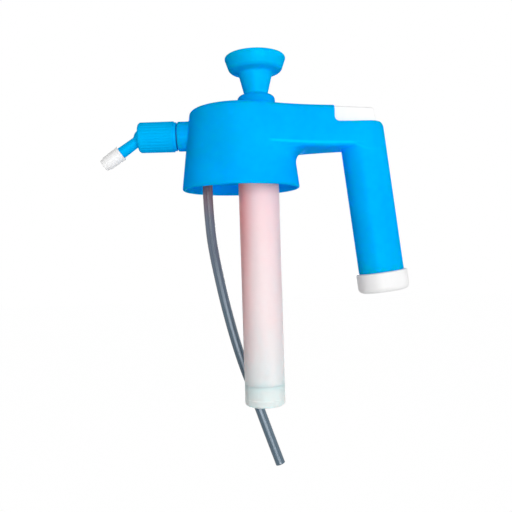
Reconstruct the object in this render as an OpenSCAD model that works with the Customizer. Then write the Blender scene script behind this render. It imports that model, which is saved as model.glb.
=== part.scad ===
// Pump head of a hand pressure sprayer: a round closure that screws on the bottle's neck, with an
// air pump through its middle, a pistol grip with a thumb lever, a valve and a bent spray spout.
// Frame: millimetres, +Z up, z = 0 at the lip of the bottle's neck, the closure's axis at x = y = 0.
// The spout points to -X and the grip hangs on the +X side.

/* [Head] */
// Outside diameter of the round head at its rim
head_d = 87; // [85:1:92]
// Height of the head from its rim to the flat top
head_h = 58; // [56:1:64]
// Draft of the head's side wall in degrees
head_draft = 6.9; // [6:0.1:7.5]
// Radius of the rounded top edge
top_round = 3; // [2:0.5:4]
// Least wall thickness of the head, bridge and grip
shell_t = 2.4; // [2:0.1:2.8]
// How far the skirt reaches below the lip of the neck
skirt_drop = 16; // [12:1:20]
// Height of the plain lead-in below the threaded part of the skirt
lead_in_h = 8; // [6:1:9]
// Width of the ledge that bears on the deck plate
ledge_w = 1.4; // [1:0.1:2]

/* [Bottle neck] */
// Inside diameter of the bottle's neck
neck_bore_d = 62; // [61:0.5:64]
// Thickness of the skirt from its rim's outside to the bore that holds the neck's thread
skirt_wall = 5.1; // [4.5:0.1:6]
// Thickness of the sealing ring on the neck's lip
neck_gasket_t = 2.5; // [2:0.1:3]
// Thickness of the deck plate that closes the neck
deck_t = 3; // [2.5:0.1:4]

/* [Bridge] */
// Height of the bridge between head and grip
bridge_h = 30; // [28:0.5:32]
// Radius of the hollow curve in which the bridge narrows from the head
waist_r = 160; // [140:5:180]
// Radius of the bridge's rounded lower edges
bridge_round = 3; // [2:0.5:4]
// Radius of the hollow fillet under the bridge where it joins the head
bridge_fillet = 9; // [6:0.5:10]
// How much the fillet narrows on each side per millimetre below the bridge
fillet_taper = 0.5; // [0.3:0.05:0.8]

/* [Grip] */
// Place of the grip's axis at the height of the neck's lip
grip_x = 93.2; // [92:0.2:95]
// Lean of the grip away from the bottle in degrees
grip_tilt = 6.6; // [5.5:0.1:7.5]
// Size of the grip fore and aft
grip_d = 33.1; // [32:0.1:35]
// Width of the grip
grip_w = 28; // [27:0.5:29]
// Length of the grip along its axis, below the neck's lip
grip_len = 80.2; // [70:1:90]
// Radius of the corner behind the thumb lever
rear_round = 6; // [4:0.5:7]
// Height of the white end cap
cap_h = 14.7; // [12:0.5:18]
// How far the end cap stands out round the grip
cap_lip = 2.25; // [1.5:0.25:3]
// Radius of the end cap's lower edge
cap_round = 4; // [3:0.5:5]
// Length of the plug that holds the end cap in the grip
cap_plug_h = 9; // [6:1:14]

/* [Thumb lever] */
// Place of the lever's pivot along the bridge
pivot_x = 92; // [91:0.5:93]
// Height of the lever's pivot
pivot_z = 27; // [26.5:0.1:27.5]
// Front of the cut-out in the cheeks beside the lever
cheek_x = 70; // [69:0.5:72]
// Top of the cheeks beside the lever
cheek_z = 30; // [29:0.5:31]
// Radius of the cut-out's inner corner
cheek_round = 3.5; // [2:0.5:5]
// Radius of the cut-out's upper corner in front
cheek_lip = 1; // [0.6:0.1:1.5]
// Rear end of the lever's top
lever_top_x = 97; // [96:0.5:98]
// Rear end of the lever's heel
lever_heel_x = 99.6; // [99:0.2:101]
// Wall of the hollow lever
lever_t = 1.8; // [1.4:0.1:2.2]
// Radius of the moulded trunnions
trunnion_r = 2.2; // [1.8:0.1:2.4]
// How far each trunnion reaches into its cheek
trunnion_len = 1.3; // [1:0.1:1.5]
// Width of the finger that works the pull yoke
finger_w = 4; // [3:0.2:5]
// Radius of the finger's round tip
finger_r = 2; // [1.6:0.1:2.2]

/* [Valve] */
// Height of the valve and nozzle axis
valve_z = 25; // [24.5:0.1:25.5]
// Place of the dip tube's spigot
spigot_x = -25; // [-26:0.2:-24.6]
// Outside diameter of the spigot
spigot_d = 11; // [10:0.2:11.2]
// Length of the spigot below the deck plate
spigot_drop = 8.5; // [7:0.5:12]
// Outside diameter of the valve chamber
chamber_d = 18; // [17:0.2:18.4]
// Bore of the valve chamber
chamber_bore_d = 12; // [11:0.2:12.6]
// Front end of the valve chamber's bore
seat_x = -38; // [-39:0.2:-37.4]
// Rear end of the valve chamber
chamber_end_x = -12; // [-12.4:0.2:-11.6]
// Bore of the valve seat
seat_d = 6; // [5:0.2:7]
// Bore of the outlet nipple
outlet_d = 8; // [7:0.2:9]
// Outside diameter of the outlet nipple
nipple_d = 16; // [15:0.2:16.4]
// Length of the nipple in front of the stub
nipple_len = 13.4; // [12:0.2:15]
// Diameter of the valve stem
stem_d = 4; // [3.6:0.1:4.4]
// Diameter of the stem where the yoke and clip sit
stem_end_d = 3; // [2.6:0.1:3.2]
// Diameter of the rubber valve disc
disc_d = 10; // [9:0.2:10.6]
// Lift of the valve when the lever is pressed
valve_lift = 2; // [1.5:0.1:2.2]

/* [Pull yoke] */
// Thickness of the flat yoke
yoke_t = 3; // [2.4:0.1:3.4]
// Width of the yoke's rod
yoke_w = 6; // [5:0.5:8]
// Width of the loop round the pump
loop_w = 3; // [2.4:0.1:3.4]
// Height of the yoke's middle
yoke_z = 18.5; // [18.2:0.1:18.8]

/* [Nozzle] */
// Outside diameter of the stub on the head
stub_d = 21.8; // [21:0.2:23]
// How far the stub stands out of the head
stub_len = 7.1; // [5.5:0.1:8.5]
// Gap between the stub and the nut
nut_gap = 0.9; // [0.6:0.1:1.5]
// Outside diameter of the ribbed nut
nut_d = 22.6; // [22:0.2:24]
// Length of the ribbed nut
nut_len = 29.3; // [28:0.1:32]
// Number of grip grooves round the nut
nut_grooves = 28; // [20:2:32]
// Wall of the nut's front end in front of its shoulder
nut_front_t = 12.8; // [10:0.2:14]
// Bend of the spout in degrees
spout_bend = 34.5; // [25:0.5:45]
// Outside diameter of the spout's tube
spout_d = 8; // [7.4:0.1:8.4]
// Bore of the spout
spout_bore_d = 4; // [3:0.1:4.4]
// Diameter of the ball at the spout's elbow
elbow_d = 12; // [11.4:0.1:12.2]
// How far the elbow's middle lies behind the nut's front face
elbow_in = 3.3; // [2.5:0.1:4]
// Distance from the elbow to the spray tip
tip_start = 19.2; // [17:0.1:20]
// Length of the spray tip
tip_len = 16.5; // [15:0.1:18]
// Diameter of the spray tip's open end
tip_d = 11.7; // [11:0.1:12.5]
// Diameter of the spray tip's nose
nose_d = 8.6; // [8:0.1:9.4]
// Diameter of the spray hole
jet_d = 1; // [0.6:0.1:1.6]

/* [Pump] */
// Place of the pump's axis
pump_x = 13; // [12.8:0.1:13.2]
// Outside diameter of the pump barrel
barrel_d = 30; // [29.5:0.1:30.4]
// Wall of the pump barrel
barrel_t = 2; // [1.6:0.1:2.3]
// Depth of the pump's foot below the lip of the neck
pump_depth = 176; // [160:1:190]
// Height of the foot piece below the barrel
foot_h = 15.4; // [14:0.2:18]
// Diameter of the barrel's flange
flange_d = 36; // [34.5:0.5:38]
// Thickness of the barrel's flange
flange_t = 3; // [2:0.2:4]
// Thickness of the flange's sealing ring
flange_gasket_t = 1.5; // [1:0.1:2]
// How far the barrel reaches above the deck plate
barrel_rise = 9.5; // [7:0.5:10]
// Outside diameter of the pump rod
rod_d = 19.6; // [18.8:0.1:20]
// Wall of the pump rod
rod_t = 1.8; // [1.4:0.1:2.2]
// Height of the piston
piston_h = 6; // [5:0.5:8]
// Space left under the piston at the bottom of its stroke
piston_rest = 1.5; // [1:0.1:3]
// Height of the piston's sealing ring
piston_seal_h = 3; // [2:0.2:4]
// Outside diameter of the guide collar's head
collar_d = 28; // [27:0.5:30]
// Height of the guide collar's head above the roof
collar_h = 13; // [11:0.5:15]

/* [Knob] */
// Diameter of the knob's top
knob_d = 45.4; // [40:0.2:50]
// Diameter of the knob's lower rim
knob_rim_d = 39.6; // [36:0.2:44]
// Height of the knob's head
knob_head_h = 9.6; // [8:0.2:12]
// Diameter of the knob's neck at its foot
neck_d = 18.4; // [17:0.2:18.6]
// Diameter of the knob's neck under its head
neck_top_d = 25; // [22:0.5:28]
// Height of the knob above the guide collar
knob_h = 27; // [24:0.5:32]

/* [Foot valve] */
// Diameter of the rubber check disc
check_d = 12; // [11:0.5:13]
// Thickness of the check disc
check_t = 2; // [1.5:0.1:2.5]
// Lift of the check disc
check_lift = 2; // [1:0.2:2.4]
// Diameter of the check valve's chamber
check_bore_d = 17; // [16:0.5:18]
// Diameter of the hole that the check disc closes
inlet_d = 6; // [4:0.5:7]

/* [Dip tube] */
// Outside diameter of the dip tube
hose_d = 7.5; // [7:0.1:8]

/* [Fits] */
// Gap round a part that is pushed through a plain hole
loose_gap = 0.3; // [0.2:0.05:0.4]
// Gap round a part that turns or slides in a bore
slide_gap = 0.1; // [0.05:0.01:0.15]
// Gap beside the lever and under the yoke
lever_gap = 0.4; // [0.3:0.05:0.5]

/* [Hidden] */
$fn = 96;

// A cut runs this far past the face that it opens
over = 1;
// A rounded edge runs this far past the flat that it meets, so the two cross and don't graze
graze = 0.05;
// How deep the bridge's hollow sides bite into the head's top circle
waist_bite = 0.15;

// Heights
rim_z = -skirt_drop;
top_z = rim_z + head_h;
roof_z = top_z - shell_t;
deck_z0 = neck_gasket_t;
deck_z1 = deck_z0 + deck_t;
thread_z0 = rim_z + lead_in_h;
bridge_z0 = top_z - bridge_h;
floor_z = bridge_z0 + shell_t;
web_z = cheek_z - shell_t;

// Radii of the head
function head_r(z) = head_d / 2 - (z - rim_z) * tan(head_draft);
top_r = head_r(top_z);
skirt_r = head_d / 2 - skirt_wall;
ledge_r = skirt_r - ledge_w;
gasket_r0 = neck_bore_d / 2;
gasket_r1 = skirt_r - 2 * loose_gap - 0.2;

// Plan of the bridge: its sides are arcs that touch the head's top circle and the grip's width
bridge_half = grip_w / 2 - loose_gap;
waist_y = bridge_half + waist_r;
waist_x = sqrt(pow(waist_r + top_r - waist_bite, 2) - pow(waist_y, 2));

// Places along the grip
function grip_axis_x(z) = grip_x - z * tan(grip_tilt);
function rear_x(z) = grip_axis_x(z) + grip_d / 2 / cos(grip_tilt);
bridge_end = grip_axis_x((bridge_z0 + cheek_z) / 2);

// Lever
lever_half = grip_w / 2 - shell_t - lever_gap;
cheek_inner = grip_w / 2 - shell_t;
lever_front_r = norm([pivot_x - cheek_x, top_z - pivot_z]);
lever_bottom_z = cheek_z - 2;
lever_heel_z = cheek_z + loose_gap;
lever_top_round = 1.2;
hub_r = trunnion_r + lever_t;
well_x = pivot_x - lever_front_r - lever_gap;
web_x = lever_heel_x - 1.4;

// Valve
chamber_front_x = -33.8;
chamber_r = chamber_bore_d / 2;
disc_t = 2;
stem_flange_t = 1.5;
stem_flange_x = seat_x + disc_t;
gland_plug_len = 5;
gland_head_len = 3;
gland_head_d = 15;
gland_x = chamber_end_x - gland_plug_len;
stem_oring_t = 1.8;
leg_d = 15;
socket_d = hose_d + 2 * slide_gap;
socket_z = 4;
spigot_z0 = deck_z0 - spigot_drop;
oring_pocket_h = 1.3;
oring_pocket_r = spigot_d / 2 + 2.3;

// Yoke
tab_t = 3;
tab_x = chamber_end_x + gland_head_len + 1;
tab_half = 7;
loop_inner_r = barrel_d / 2 - 1.4;
loop_front_x = pump_x - valve_lift;
yoke_end = pivot_x + 8;
stem_clip_t = 0.8;
stem_clip_r = 3;
stem_groove_d = stem_end_d - 0.6;
shoulder_x = tab_x;
clip_x = tab_x + tab_t;
stem_end_x = clip_x + stem_clip_t + 1;
rib_t = 2;
rib_places = [48, 64, 80];
rib_z = yoke_z - yoke_t / 2 - loose_gap;

// Nozzle
stub_x = -head_r(valve_z) - stub_len;
stub_root = 2 * stub_len;
outlet_end_x = stub_x - nipple_len;
nut_x = stub_x - nut_gap;
nut_face_x = nut_x - nut_len;
nut_bore_r = nipple_d / 2 + loose_gap;
nut_shoulder_x = nut_face_x + nut_front_t;
nut_front_r = elbow_d / 2 + slide_gap + 0.1;
elbow_x = nut_face_x + elbow_in;
spout_flange_t = 2;
washer_t = outlet_end_x - nut_shoulder_x - spout_flange_t - 2 * slide_gap;
tip_bore_r = spout_d / 2 + slide_gap;
tip_cavity_end = tip_start + tip_len - 2.6;
core_len = 2.4;
spout_len = tip_cavity_end - core_len - loose_gap;
flare_r = elbow_in * tan(spout_bend) + spout_d / 2 / cos(spout_bend) + loose_gap;
flare_h = (flare_r - nut_front_r) / tan(spout_bend);
oring_at = tip_start + 6;

// Pump
barrel_r = barrel_d / 2;
bore_r = barrel_r - barrel_t;
pump_foot_z = -pump_depth;
barrel_z0 = pump_foot_z + foot_h;
barrel_z1 = deck_z1 + barrel_rise;
flange_z1 = deck_z0 - flange_gasket_t;
flange_z0 = flange_z1 - flange_t;
foot_plug_h = 3;
foot_plug_z = barrel_z0 + foot_plug_h;
piston_z0 = foot_plug_z + piston_rest;
piston_z1 = piston_z0 + piston_h;
piston_r = bore_r - 0.4;
piston_plug_h = 10;
collar_low_z = deck_z0 + 0.5;
collar_low_r = bore_r - slide_gap;
collar_tube_r = bore_r - 1;
collar_flange_d = 33;
collar_flange_t = 2.5;
collar_bore_r = rod_d / 2 + slide_gap;
collar_round = 3.6;
collar_top_z = top_z + collar_h;
rod_z1 = collar_top_z - 1;
knob_plug_h = 10;
knob_top_z = collar_top_z + knob_h;

// Foot valve
retainer_t = 2.5;
check_post_r = 2;
check_seat_z = foot_plug_z - 6;
retainer_z = pump_foot_z + retainer_t;
check_gap = 0.1;
check_z = check_seat_z - check_gap - check_t;
check_post_h = check_z - check_lift - check_gap - retainer_z;

// Route of the dip tube, from the socket's end under the valve to the cut end near the bottle's floor
hose_route = [
    [-25, 0, 4], [-25, 0, -10], [-25, 0.5, -22], [-24.5, 2, -36], [-23.5, 5, -52],
    [-21.5, 9, -68], [-18.5, 13, -86], [-15.5, 16.5, -102], [-12, 19, -118], [-8, 20.5, -134],
    [-3, 21, -151], [3.5, 21, -170], [9.5, 20.5, -188], [16, 20, -207], [23.5, 19.5, -228.5],
];

// Colours
blue = "deepskyblue";
white = "whitesmoke";
milky = "mistyrose";
grey = "gainsboro";
pink = "lightcoral";
dark = "dimgray";
steel = "silver";

// Extrudes an outline drawn in X and Z along Y, centred on y = 0
module across(width) {
    rotate([90, 0, 0]) linear_extrude(width, center = true) children();
}

// Puts a shape made round the Z axis on the valve's axis, with its own +Z along +X
module on_valve_axis(x) {
    translate([x, 0, valve_z]) rotate([0, 90, 0]) children();
}

// Washer round the Z axis
module ring(r0, r1, h) {
    difference() {
        cylinder(r = r1, h = h);
        translate([0, 0, -over]) cylinder(r = r0, h = h + 2 * over);
    }
}

// Frame of the grip: its own -Z runs down the grip's axis
module at_grip() {
    translate([grip_x, 0, 0]) rotate([0, -grip_tilt, 0]) children();
}

// Cross-section of the grip, drawn in by an inset
module grip_section(inset = 0) {
    r = grip_w / 2 - inset;
    reach = (grip_d - grip_w) / 2;
    for (s = [-1, 1]) translate([s * reach, 0]) circle(r);
    square([2 * reach, 2 * r], center = true);
}

// Tube swept along points; up is a direction that the path never follows
module sweep(path, r, sides, up) {
    n = len(path);
    function heading(i) = path[min(i + 1, n - 1)] - path[max(i - 1, 0)];
    function unit(v) = v / norm(v);
    function side_of(i) = unit(cross(heading(i), up));
    function lift_of(i) = unit(cross(side_of(i), heading(i)));
    points = [
        for (i = [0 : n - 1]) for (k = [0 : sides - 1])
            path[i] + r * (cos(360 * k / sides) * side_of(i) + sin(360 * k / sides) * lift_of(i))
    ];
    faces = concat(
        [[for (k = [0 : sides - 1]) k]],
        [for (i = [0 : n - 2]) for (k = [0 : sides - 1])
            [i * sides + k, (i + 1) * sides + k,
             (i + 1) * sides + (k + 1) % sides, i * sides + (k + 1) % sides]],
        [[for (k = [sides - 1 : -1 : 0]) (n - 1) * sides + k]]
    );
    polyhedron(points, faces);
}

// Compression spring along +Z from z = 0, as wide as its mean radius r, with flat end turns
module coil_spring(r, wire_r, h, turns) {
    steps = 12;
    total = turns * steps;
    rise = h - 2 * wire_r;
    function climb(t) = t < 1 ? 0 : t > turns - 1 ? 1 : (t - 1) / (turns - 2);
    path = [
        for (i = [0 : total])
            [r * cos(30 * i), r * sin(30 * i),
             wire_r + 0.8 * wire_r * i / total + (rise - 0.8 * wire_r) * climb(i / steps)]
    ];
    sweep(path, wire_r, 6, [0, 0, 1]);
}

// ---- Housing ----

// Round head, a drafted cone with a rounded top edge and rim
module head_outer() {
    rim_round = 1.5;
    rotate_extrude() difference() {
        polygon([[0, rim_z], [head_r(rim_z), rim_z], [top_r, top_z], [0, top_z]]);
        difference() {
            translate([top_r - top_round, top_z - top_round]) square(2 * top_round);
            translate([top_r - top_round + graze, top_z - top_round + graze]) circle(top_round);
        }
        difference() {
            translate([head_r(rim_z) - rim_round, rim_z - rim_round]) square(2 * rim_round);
            translate([head_r(rim_z) - rim_round + graze, rim_z + rim_round - graze]) circle(rim_round);
        }
    }
}

// Disc that hollows one side of the bridge; its edge flares where the bridge's edges are rounded
module waist_cutter(side, inset, low_round, high_round) {
    z0 = bridge_z0 + inset;
    z1 = top_z - inset;
    r = waist_r + inset;
    translate([waist_x, side * waist_y, 0]) rotate_extrude($fn = 180) {
        translate([0, z0 - over]) square([r, z1 - z0 + 2 * over]);
        if (low_round > 0) difference() {
            translate([r - over, z0 - over]) square([low_round + over, low_round + over]);
            translate([r + low_round, z0 + low_round - graze]) circle(low_round);
        }
        if (high_round > 0) difference() {
            translate([r - over, z1 - high_round]) square([high_round + over, high_round + over]);
            translate([r + high_round, z1 - high_round + graze]) circle(high_round);
        }
    }
}

// The bridge as a slab with two hollow sides, drawn in by an inset
module bridge_body(inset = 0, low_round = 0, high_round = 0) {
    z0 = bridge_z0 + inset;
    corner = 1.3 * top_r / (waist_r + top_r);
    difference() {
        translate([0, 0, z0]) linear_extrude(top_z - inset - z0)
            polygon([
                [0, 0], [waist_x * corner, -waist_y * corner], [bridge_end, -waist_y * corner],
                [bridge_end, waist_y * corner], [waist_x * corner, waist_y * corner],
            ]);
        for (side = [-1, 1]) waist_cutter(side, inset, low_round, high_round);
    }
}

// Hollow fillet under the bridge: a ring round the head, as wide as the bridge and narrower below
module bridge_root() {
    corner_r = head_r(bridge_z0);
    low_z = bridge_z0 - bridge_fillet;
    side_r = waist_r + bridge_round;
    side_h = 3 * bridge_fillet;
    intersection() {
        rotate_extrude() difference() {
            polygon([
                [head_r(low_z) - shell_t / 2, low_z], [corner_r + bridge_fillet, low_z],
                [corner_r + bridge_fillet, bridge_z0 + shell_t / 2],
                [corner_r - shell_t / 2, bridge_z0 + shell_t / 2],
            ]);
            translate([head_r(low_z) + bridge_fillet - graze, low_z + graze]) circle(bridge_fillet);
            translate([head_r(low_z) + bridge_fillet - graze, low_z - over])
                square([2 * bridge_fillet, bridge_fillet + over - graze]);
        }
        difference() {
            translate([0, -head_d / 2, low_z - over]) cube([head_d, head_d, 2 * bridge_fillet]);
            for (side = [-1, 1]) translate([waist_x, side * waist_y, bridge_z0 - side_h])
                cylinder(r1 = side_r + side_h * fillet_taper, r2 = side_r - shell_t * fillet_taper,
                    h = side_h + shell_t, $fn = 180);
        }
    }
}

// Everything above the cheeks beside the thumb lever, with the rounded rear corner
module cheek_cut() {
    far = rear_x(rim_z) + 10;
    corner_x = rear_x(cheek_z - rear_round) - rear_round + graze;
    corner_z = cheek_z - rear_round + graze;
    across(2 * grip_w) {
        translate([cheek_x + cheek_round, cheek_z + cheek_round]) circle(cheek_round);
        translate([cheek_x + cheek_round, cheek_z]) square([far - cheek_x, top_z]);
        translate([cheek_x, cheek_z + cheek_round]) square([far - cheek_x, top_z]);
        difference() {
            translate([cheek_x - cheek_lip, top_z - cheek_lip]) square(2 * cheek_lip);
            translate([cheek_x - cheek_lip, top_z - cheek_lip]) circle(cheek_lip + graze, $fn = 48);
        }
        difference() {
            translate([corner_x, corner_z]) square([far - corner_x, 2 * rear_round]);
            translate([corner_x, corner_z]) circle(rear_round);
        }
    }
}

// Well between the cheeks in which the thumb lever swings
module lever_well() {
    intersection() {
        translate([pivot_x, 0, pivot_z]) rotate([90, 0, 0])
            cylinder(r = lever_front_r + lever_gap, h = 2 * cheek_inner, center = true);
        translate([well_x - over, -grip_w, floor_z])
            cube([pivot_x - well_x + over, 2 * grip_w, head_h]);
    }
    translate([pivot_x - over, -cheek_inner, yoke_z])
        cube([web_x - pivot_x + over, 2 * cheek_inner, head_h]);
}

// Blue one-piece moulding: round head, bridge, pistol grip and the stub for the nozzle
module housing() color(blue) {
    grip_top = cheek_z / cos(grip_tilt) + grip_d;
    difference() {
        union() {
            head_outer();
            bridge_body(0, bridge_round, top_round);
            bridge_root();
            at_grip() translate([0, 0, -grip_len]) linear_extrude(grip_len + grip_top) grip_section();
            on_valve_axis(stub_x) cylinder(r = stub_d / 2, h = stub_root);
        }
        // Flat top over the grip and the cut-out for the lever
        translate([-head_d, -head_d, top_z]) cube([4 * head_d, 2 * head_d, 2 * head_h]);
        cheek_cut();
        // Skirt: lead-in, threaded bore, and the room above the deck plate
        translate([0, 0, rim_z - over])
            cylinder(r1 = head_r(rim_z) - shell_t, r2 = head_r(thread_z0) - shell_t, h = lead_in_h + over);
        translate([0, 0, rim_z]) cylinder(r = skirt_r, h = deck_z1 - rim_z);
        rotate_extrude() polygon([
            [0, deck_z0], [ledge_r, deck_z0], [ledge_r, deck_z1],
            [head_r(roof_z) - shell_t, roof_z], [0, roof_z],
        ]);
        // Bridge and grip are hollow
        bridge_body(shell_t);
        intersection() {
            at_grip() translate([0, 0, -grip_len - over])
                linear_extrude(grip_len + grip_top) grip_section(shell_t);
            translate([0, -head_d, -3 * grip_len]) cube([3 * head_d, 2 * head_d, 3 * grip_len + web_z]);
        }
        lever_well();
        // Holes for the guide collar, the nipple and the lever's trunnions
        translate([pump_x, 0, roof_z - over])
            cylinder(r = collar_tube_r + loose_gap, h = shell_t + 2 * over);
        on_valve_axis(stub_x - over) cylinder(r = nipple_d / 2 + loose_gap, h = stub_root + 2 * over);
        translate([pivot_x, 0, pivot_z]) rotate([90, 0, 0])
            cylinder(r = trunnion_r + slide_gap, h = 2 * (lever_half + trunnion_len + slide_gap), center = true);
    }
    yoke_ribs();
}

// Ribs on the bridge's floor that carry the yoke's rod
module yoke_ribs() {
    for (x = rib_places) intersection() {
        translate([x, -head_d / 2, bridge_z0 + shell_t / 2])
            cube([rib_t, head_d, rib_z - bridge_z0 - shell_t / 2]);
        bridge_body(shell_t / 2);
    }
}

// White plate that closes the neck and carries the pump and the valve
module deck_plate() color(white) {
    boss_r = barrel_r + loose_gap + 2.4;
    boss_h = barrel_rise - 3;
    difference() {
        union() {
            translate([0, 0, deck_z0]) cylinder(r = skirt_r - loose_gap, h = deck_t);
            translate([pump_x, 0, deck_z0]) cylinder(r = boss_r, h = deck_t + boss_h);
            for (a = [60, 90, 120]) for (s = [-1, 1])
                translate([pump_x, 0, deck_z0]) rotate([0, 0, s * a])
                    translate([boss_r - 0.5, -0.8, 0]) cube([5, 1.6, deck_t + boss_h - 2]);
        }
        translate([pump_x, 0, 0]) cylinder(r = barrel_r + loose_gap, h = head_h);
        translate([spigot_x, 0, 0]) cylinder(r = spigot_d / 2 + loose_gap, h = head_h);
        translate([spigot_x, 0, deck_z1 - oring_pocket_h]) cylinder(r = oring_pocket_r, h = head_h);
    }
}

// Rubber ring that the lip of the bottle's neck presses on
module neck_gasket() color(dark) ring(gasket_r0, gasket_r1, neck_gasket_t);

// ---- Pump ----

// Milky tube of the pump with its flange under the deck plate
module barrel() color(milky) translate([pump_x, 0, 0]) difference() {
    union() {
        translate([0, 0, barrel_z0]) cylinder(r = barrel_r, h = barrel_z1 - barrel_z0);
        translate([0, 0, flange_z0]) cylinder(r = flange_d / 2, h = flange_t);
    }
    translate([0, 0, barrel_z0 - over]) cylinder(r = bore_r, h = barrel_z1 - barrel_z0 + 2 * over);
}

// Sealing ring between the barrel's flange and the deck plate
module barrel_gasket() color(dark) translate([pump_x, 0, flange_z1])
    ring(barrel_r + loose_gap, flange_d / 2, flange_gasket_t);

// Collar on the roof; its tube screws into the barrel and guides the rod
module guide_collar() color(blue) translate([pump_x, 0, 0]) rotate_extrude() difference() {
    union() {
        translate([0, collar_low_z]) square([collar_low_r, barrel_z1 - collar_low_z]);
        translate([0, barrel_z1 - over]) square([collar_tube_r, top_z - barrel_z1 + 2 * over]);
        translate([0, top_z]) square([collar_flange_d / 2, collar_flange_t]);
        difference() {
            translate([0, top_z]) square([collar_d / 2, collar_h]);
            difference() {
                translate([collar_d / 2 - collar_round, collar_top_z - collar_round])
                    square(2 * collar_round);
                translate([collar_d / 2 - collar_round + graze, collar_top_z - collar_round + graze])
                    circle(collar_round);
            }
        }
    }
    translate([0, collar_low_z - over]) square([collar_bore_r, head_h + collar_h]);
}

// Foot of the pump, with the seat of the check valve
module foot_cap() color(grey) translate([pump_x, 0, 0]) difference() {
    union() {
        translate([0, 0, pump_foot_z]) cylinder(r = barrel_r, h = foot_h);
        translate([0, 0, pump_foot_z]) cylinder(r = bore_r - slide_gap, h = foot_h + foot_plug_h);
    }
    translate([0, 0, pump_foot_z - over]) cylinder(r = check_bore_d / 2, h = check_seat_z - pump_foot_z + over);
    translate([0, 0, check_seat_z - over]) cylinder(r = inlet_d / 2, h = foot_h);
    // Groove round the outside near the foot's lower end
    translate([0, 0, pump_foot_z + 5]) ring(barrel_r - 0.4, barrel_r + over, 1);
}

// Ported disc pressed in the foot; the check spring stands on it round the post that stops the disc
module foot_retainer() color(grey) translate([pump_x, 0, pump_foot_z]) difference() {
    union() {
        cylinder(r = check_bore_d / 2 - slide_gap, h = retainer_t);
        cylinder(r = check_post_r, h = retainer_t + check_post_h);
    }
    for (a = [0 : 60 : 300]) rotate([0, 0, a]) translate([5.6, 0, -over])
        cylinder(r = 1.4, h = retainer_t + 2 * over);
}

// Rubber disc that lets air out of the pump and no liquid in
module check_disc() color(dark) translate([pump_x, 0, check_z])
    cylinder(r = check_d / 2, h = check_t);

// Light spring under the check disc
module check_spring() color(steel) translate([pump_x, 0, retainer_z])
    coil_spring(check_post_r + 1.4, 0.35, check_z - retainer_z, 5);

// Pink tube that joins the knob and the piston
module pump_rod() color(pink) translate([pump_x, 0, piston_z1])
    ring(rod_d / 2 - rod_t, rod_d / 2, rod_z1 - piston_z1);

// Knob, turned about the pump's axis
module knob() color(blue) translate([pump_x, 0, 0]) rotate_extrude() {
    plug_r = rod_d / 2 - rod_t - slide_gap;
    head_z = knob_top_z - knob_head_h;
    brow_z = head_z - 3.6;
    edge = 2;
    translate([0, rod_z1 - knob_plug_h]) square([plug_r, knob_plug_h + over]);
    difference() {
        polygon([
            [0, rod_z1], [neck_d / 2, rod_z1], [neck_d / 2, collar_top_z + 1],
            [neck_top_d / 2, brow_z], [neck_top_d / 2 + 3.4, brow_z + 1.5], [knob_rim_d / 2 - 0.8, head_z - 0.7],
            [knob_rim_d / 2, head_z + 0.5], [knob_d / 2, knob_top_z], [0, knob_top_z],
        ]);
        difference() {
            translate([knob_d / 2 - edge - 0.3, knob_top_z - edge]) square(3 * edge);
            translate([knob_d / 2 - edge - 0.2, knob_top_z - edge + graze]) circle(edge);
        }
    }
}

// Piston at the rod's foot, with the groove for its ring
module piston() color(white) translate([pump_x, 0, 0]) difference() {
    union() {
        translate([0, 0, piston_z0]) cylinder(r = piston_r, h = piston_h);
        translate([0, 0, piston_z0])
            cylinder(r = rod_d / 2 - rod_t - slide_gap, h = piston_h + piston_plug_h);
    }
    translate([0, 0, piston_z0 + (piston_h - piston_seal_h) / 2])
        ring(piston_r - 2.5, piston_r + over, piston_seal_h);
}

// Ring that seals the piston in the barrel
module piston_seal() color(dark)
    translate([pump_x, 0, piston_z0 + (piston_h - piston_seal_h) / 2])
        ring(piston_r - 2.5, bore_r - 0.05, piston_seal_h);

// ---- Valve ----

// Valve body: chamber and nipple on the nozzle's axis, a leg down to the dip tube's spigot
module valve_body() color(white) difference() {
    union() {
        on_valve_axis(outlet_end_x) cylinder(r = nipple_d / 2, h = chamber_front_x - outlet_end_x + over);
        on_valve_axis(chamber_front_x) cylinder(r = chamber_d / 2, h = chamber_end_x - chamber_front_x);
        translate([spigot_x, 0, deck_z1]) cylinder(r = leg_d / 2, h = valve_z - deck_z1);
        translate([spigot_x, 0, spigot_z0]) cylinder(r = spigot_d / 2, h = valve_z - spigot_z0);
    }
    on_valve_axis(seat_x) cylinder(r = chamber_r, h = chamber_end_x - seat_x + over);
    on_valve_axis(seat_x - 4) cylinder(r = seat_d / 2, h = 4 + over);
    on_valve_axis(outlet_end_x - over) cylinder(r = outlet_d / 2, h = seat_x - 3 - outlet_end_x + over);
    translate([spigot_x, 0, spigot_z0 - over]) cylinder(r = socket_d / 2, h = socket_z - spigot_z0 + over);
    translate([spigot_x, 0, socket_z - over]) cylinder(r = 2.5, h = valve_z - socket_z);
}

// Ring that seals the spigot in the deck plate
module spigot_oring() color(dark) translate([spigot_x, 0, deck_z1 - oring_pocket_h])
    ring(spigot_d / 2 + slide_gap, oring_pocket_r - slide_gap, oring_pocket_h);

// Screwed plug that closes the chamber round the stem
module gland_nut() color(white) on_valve_axis(gland_x) difference() {
    union() {
        cylinder(r = chamber_r - slide_gap, h = gland_plug_len);
        translate([0, 0, gland_plug_len]) cylinder(d = gland_head_d, h = gland_head_len, $fn = 6);
    }
    translate([0, 0, -over]) cylinder(r = stem_d / 2 + slide_gap, h = gland_plug_len + gland_head_len + 2 * over);
}

// Ring round the stem in front of the gland
module stem_oring() color(dark) on_valve_axis(gland_x - stem_oring_t)
    ring(stem_d / 2 + slide_gap / 2, chamber_r - slide_gap, stem_oring_t);

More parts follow.
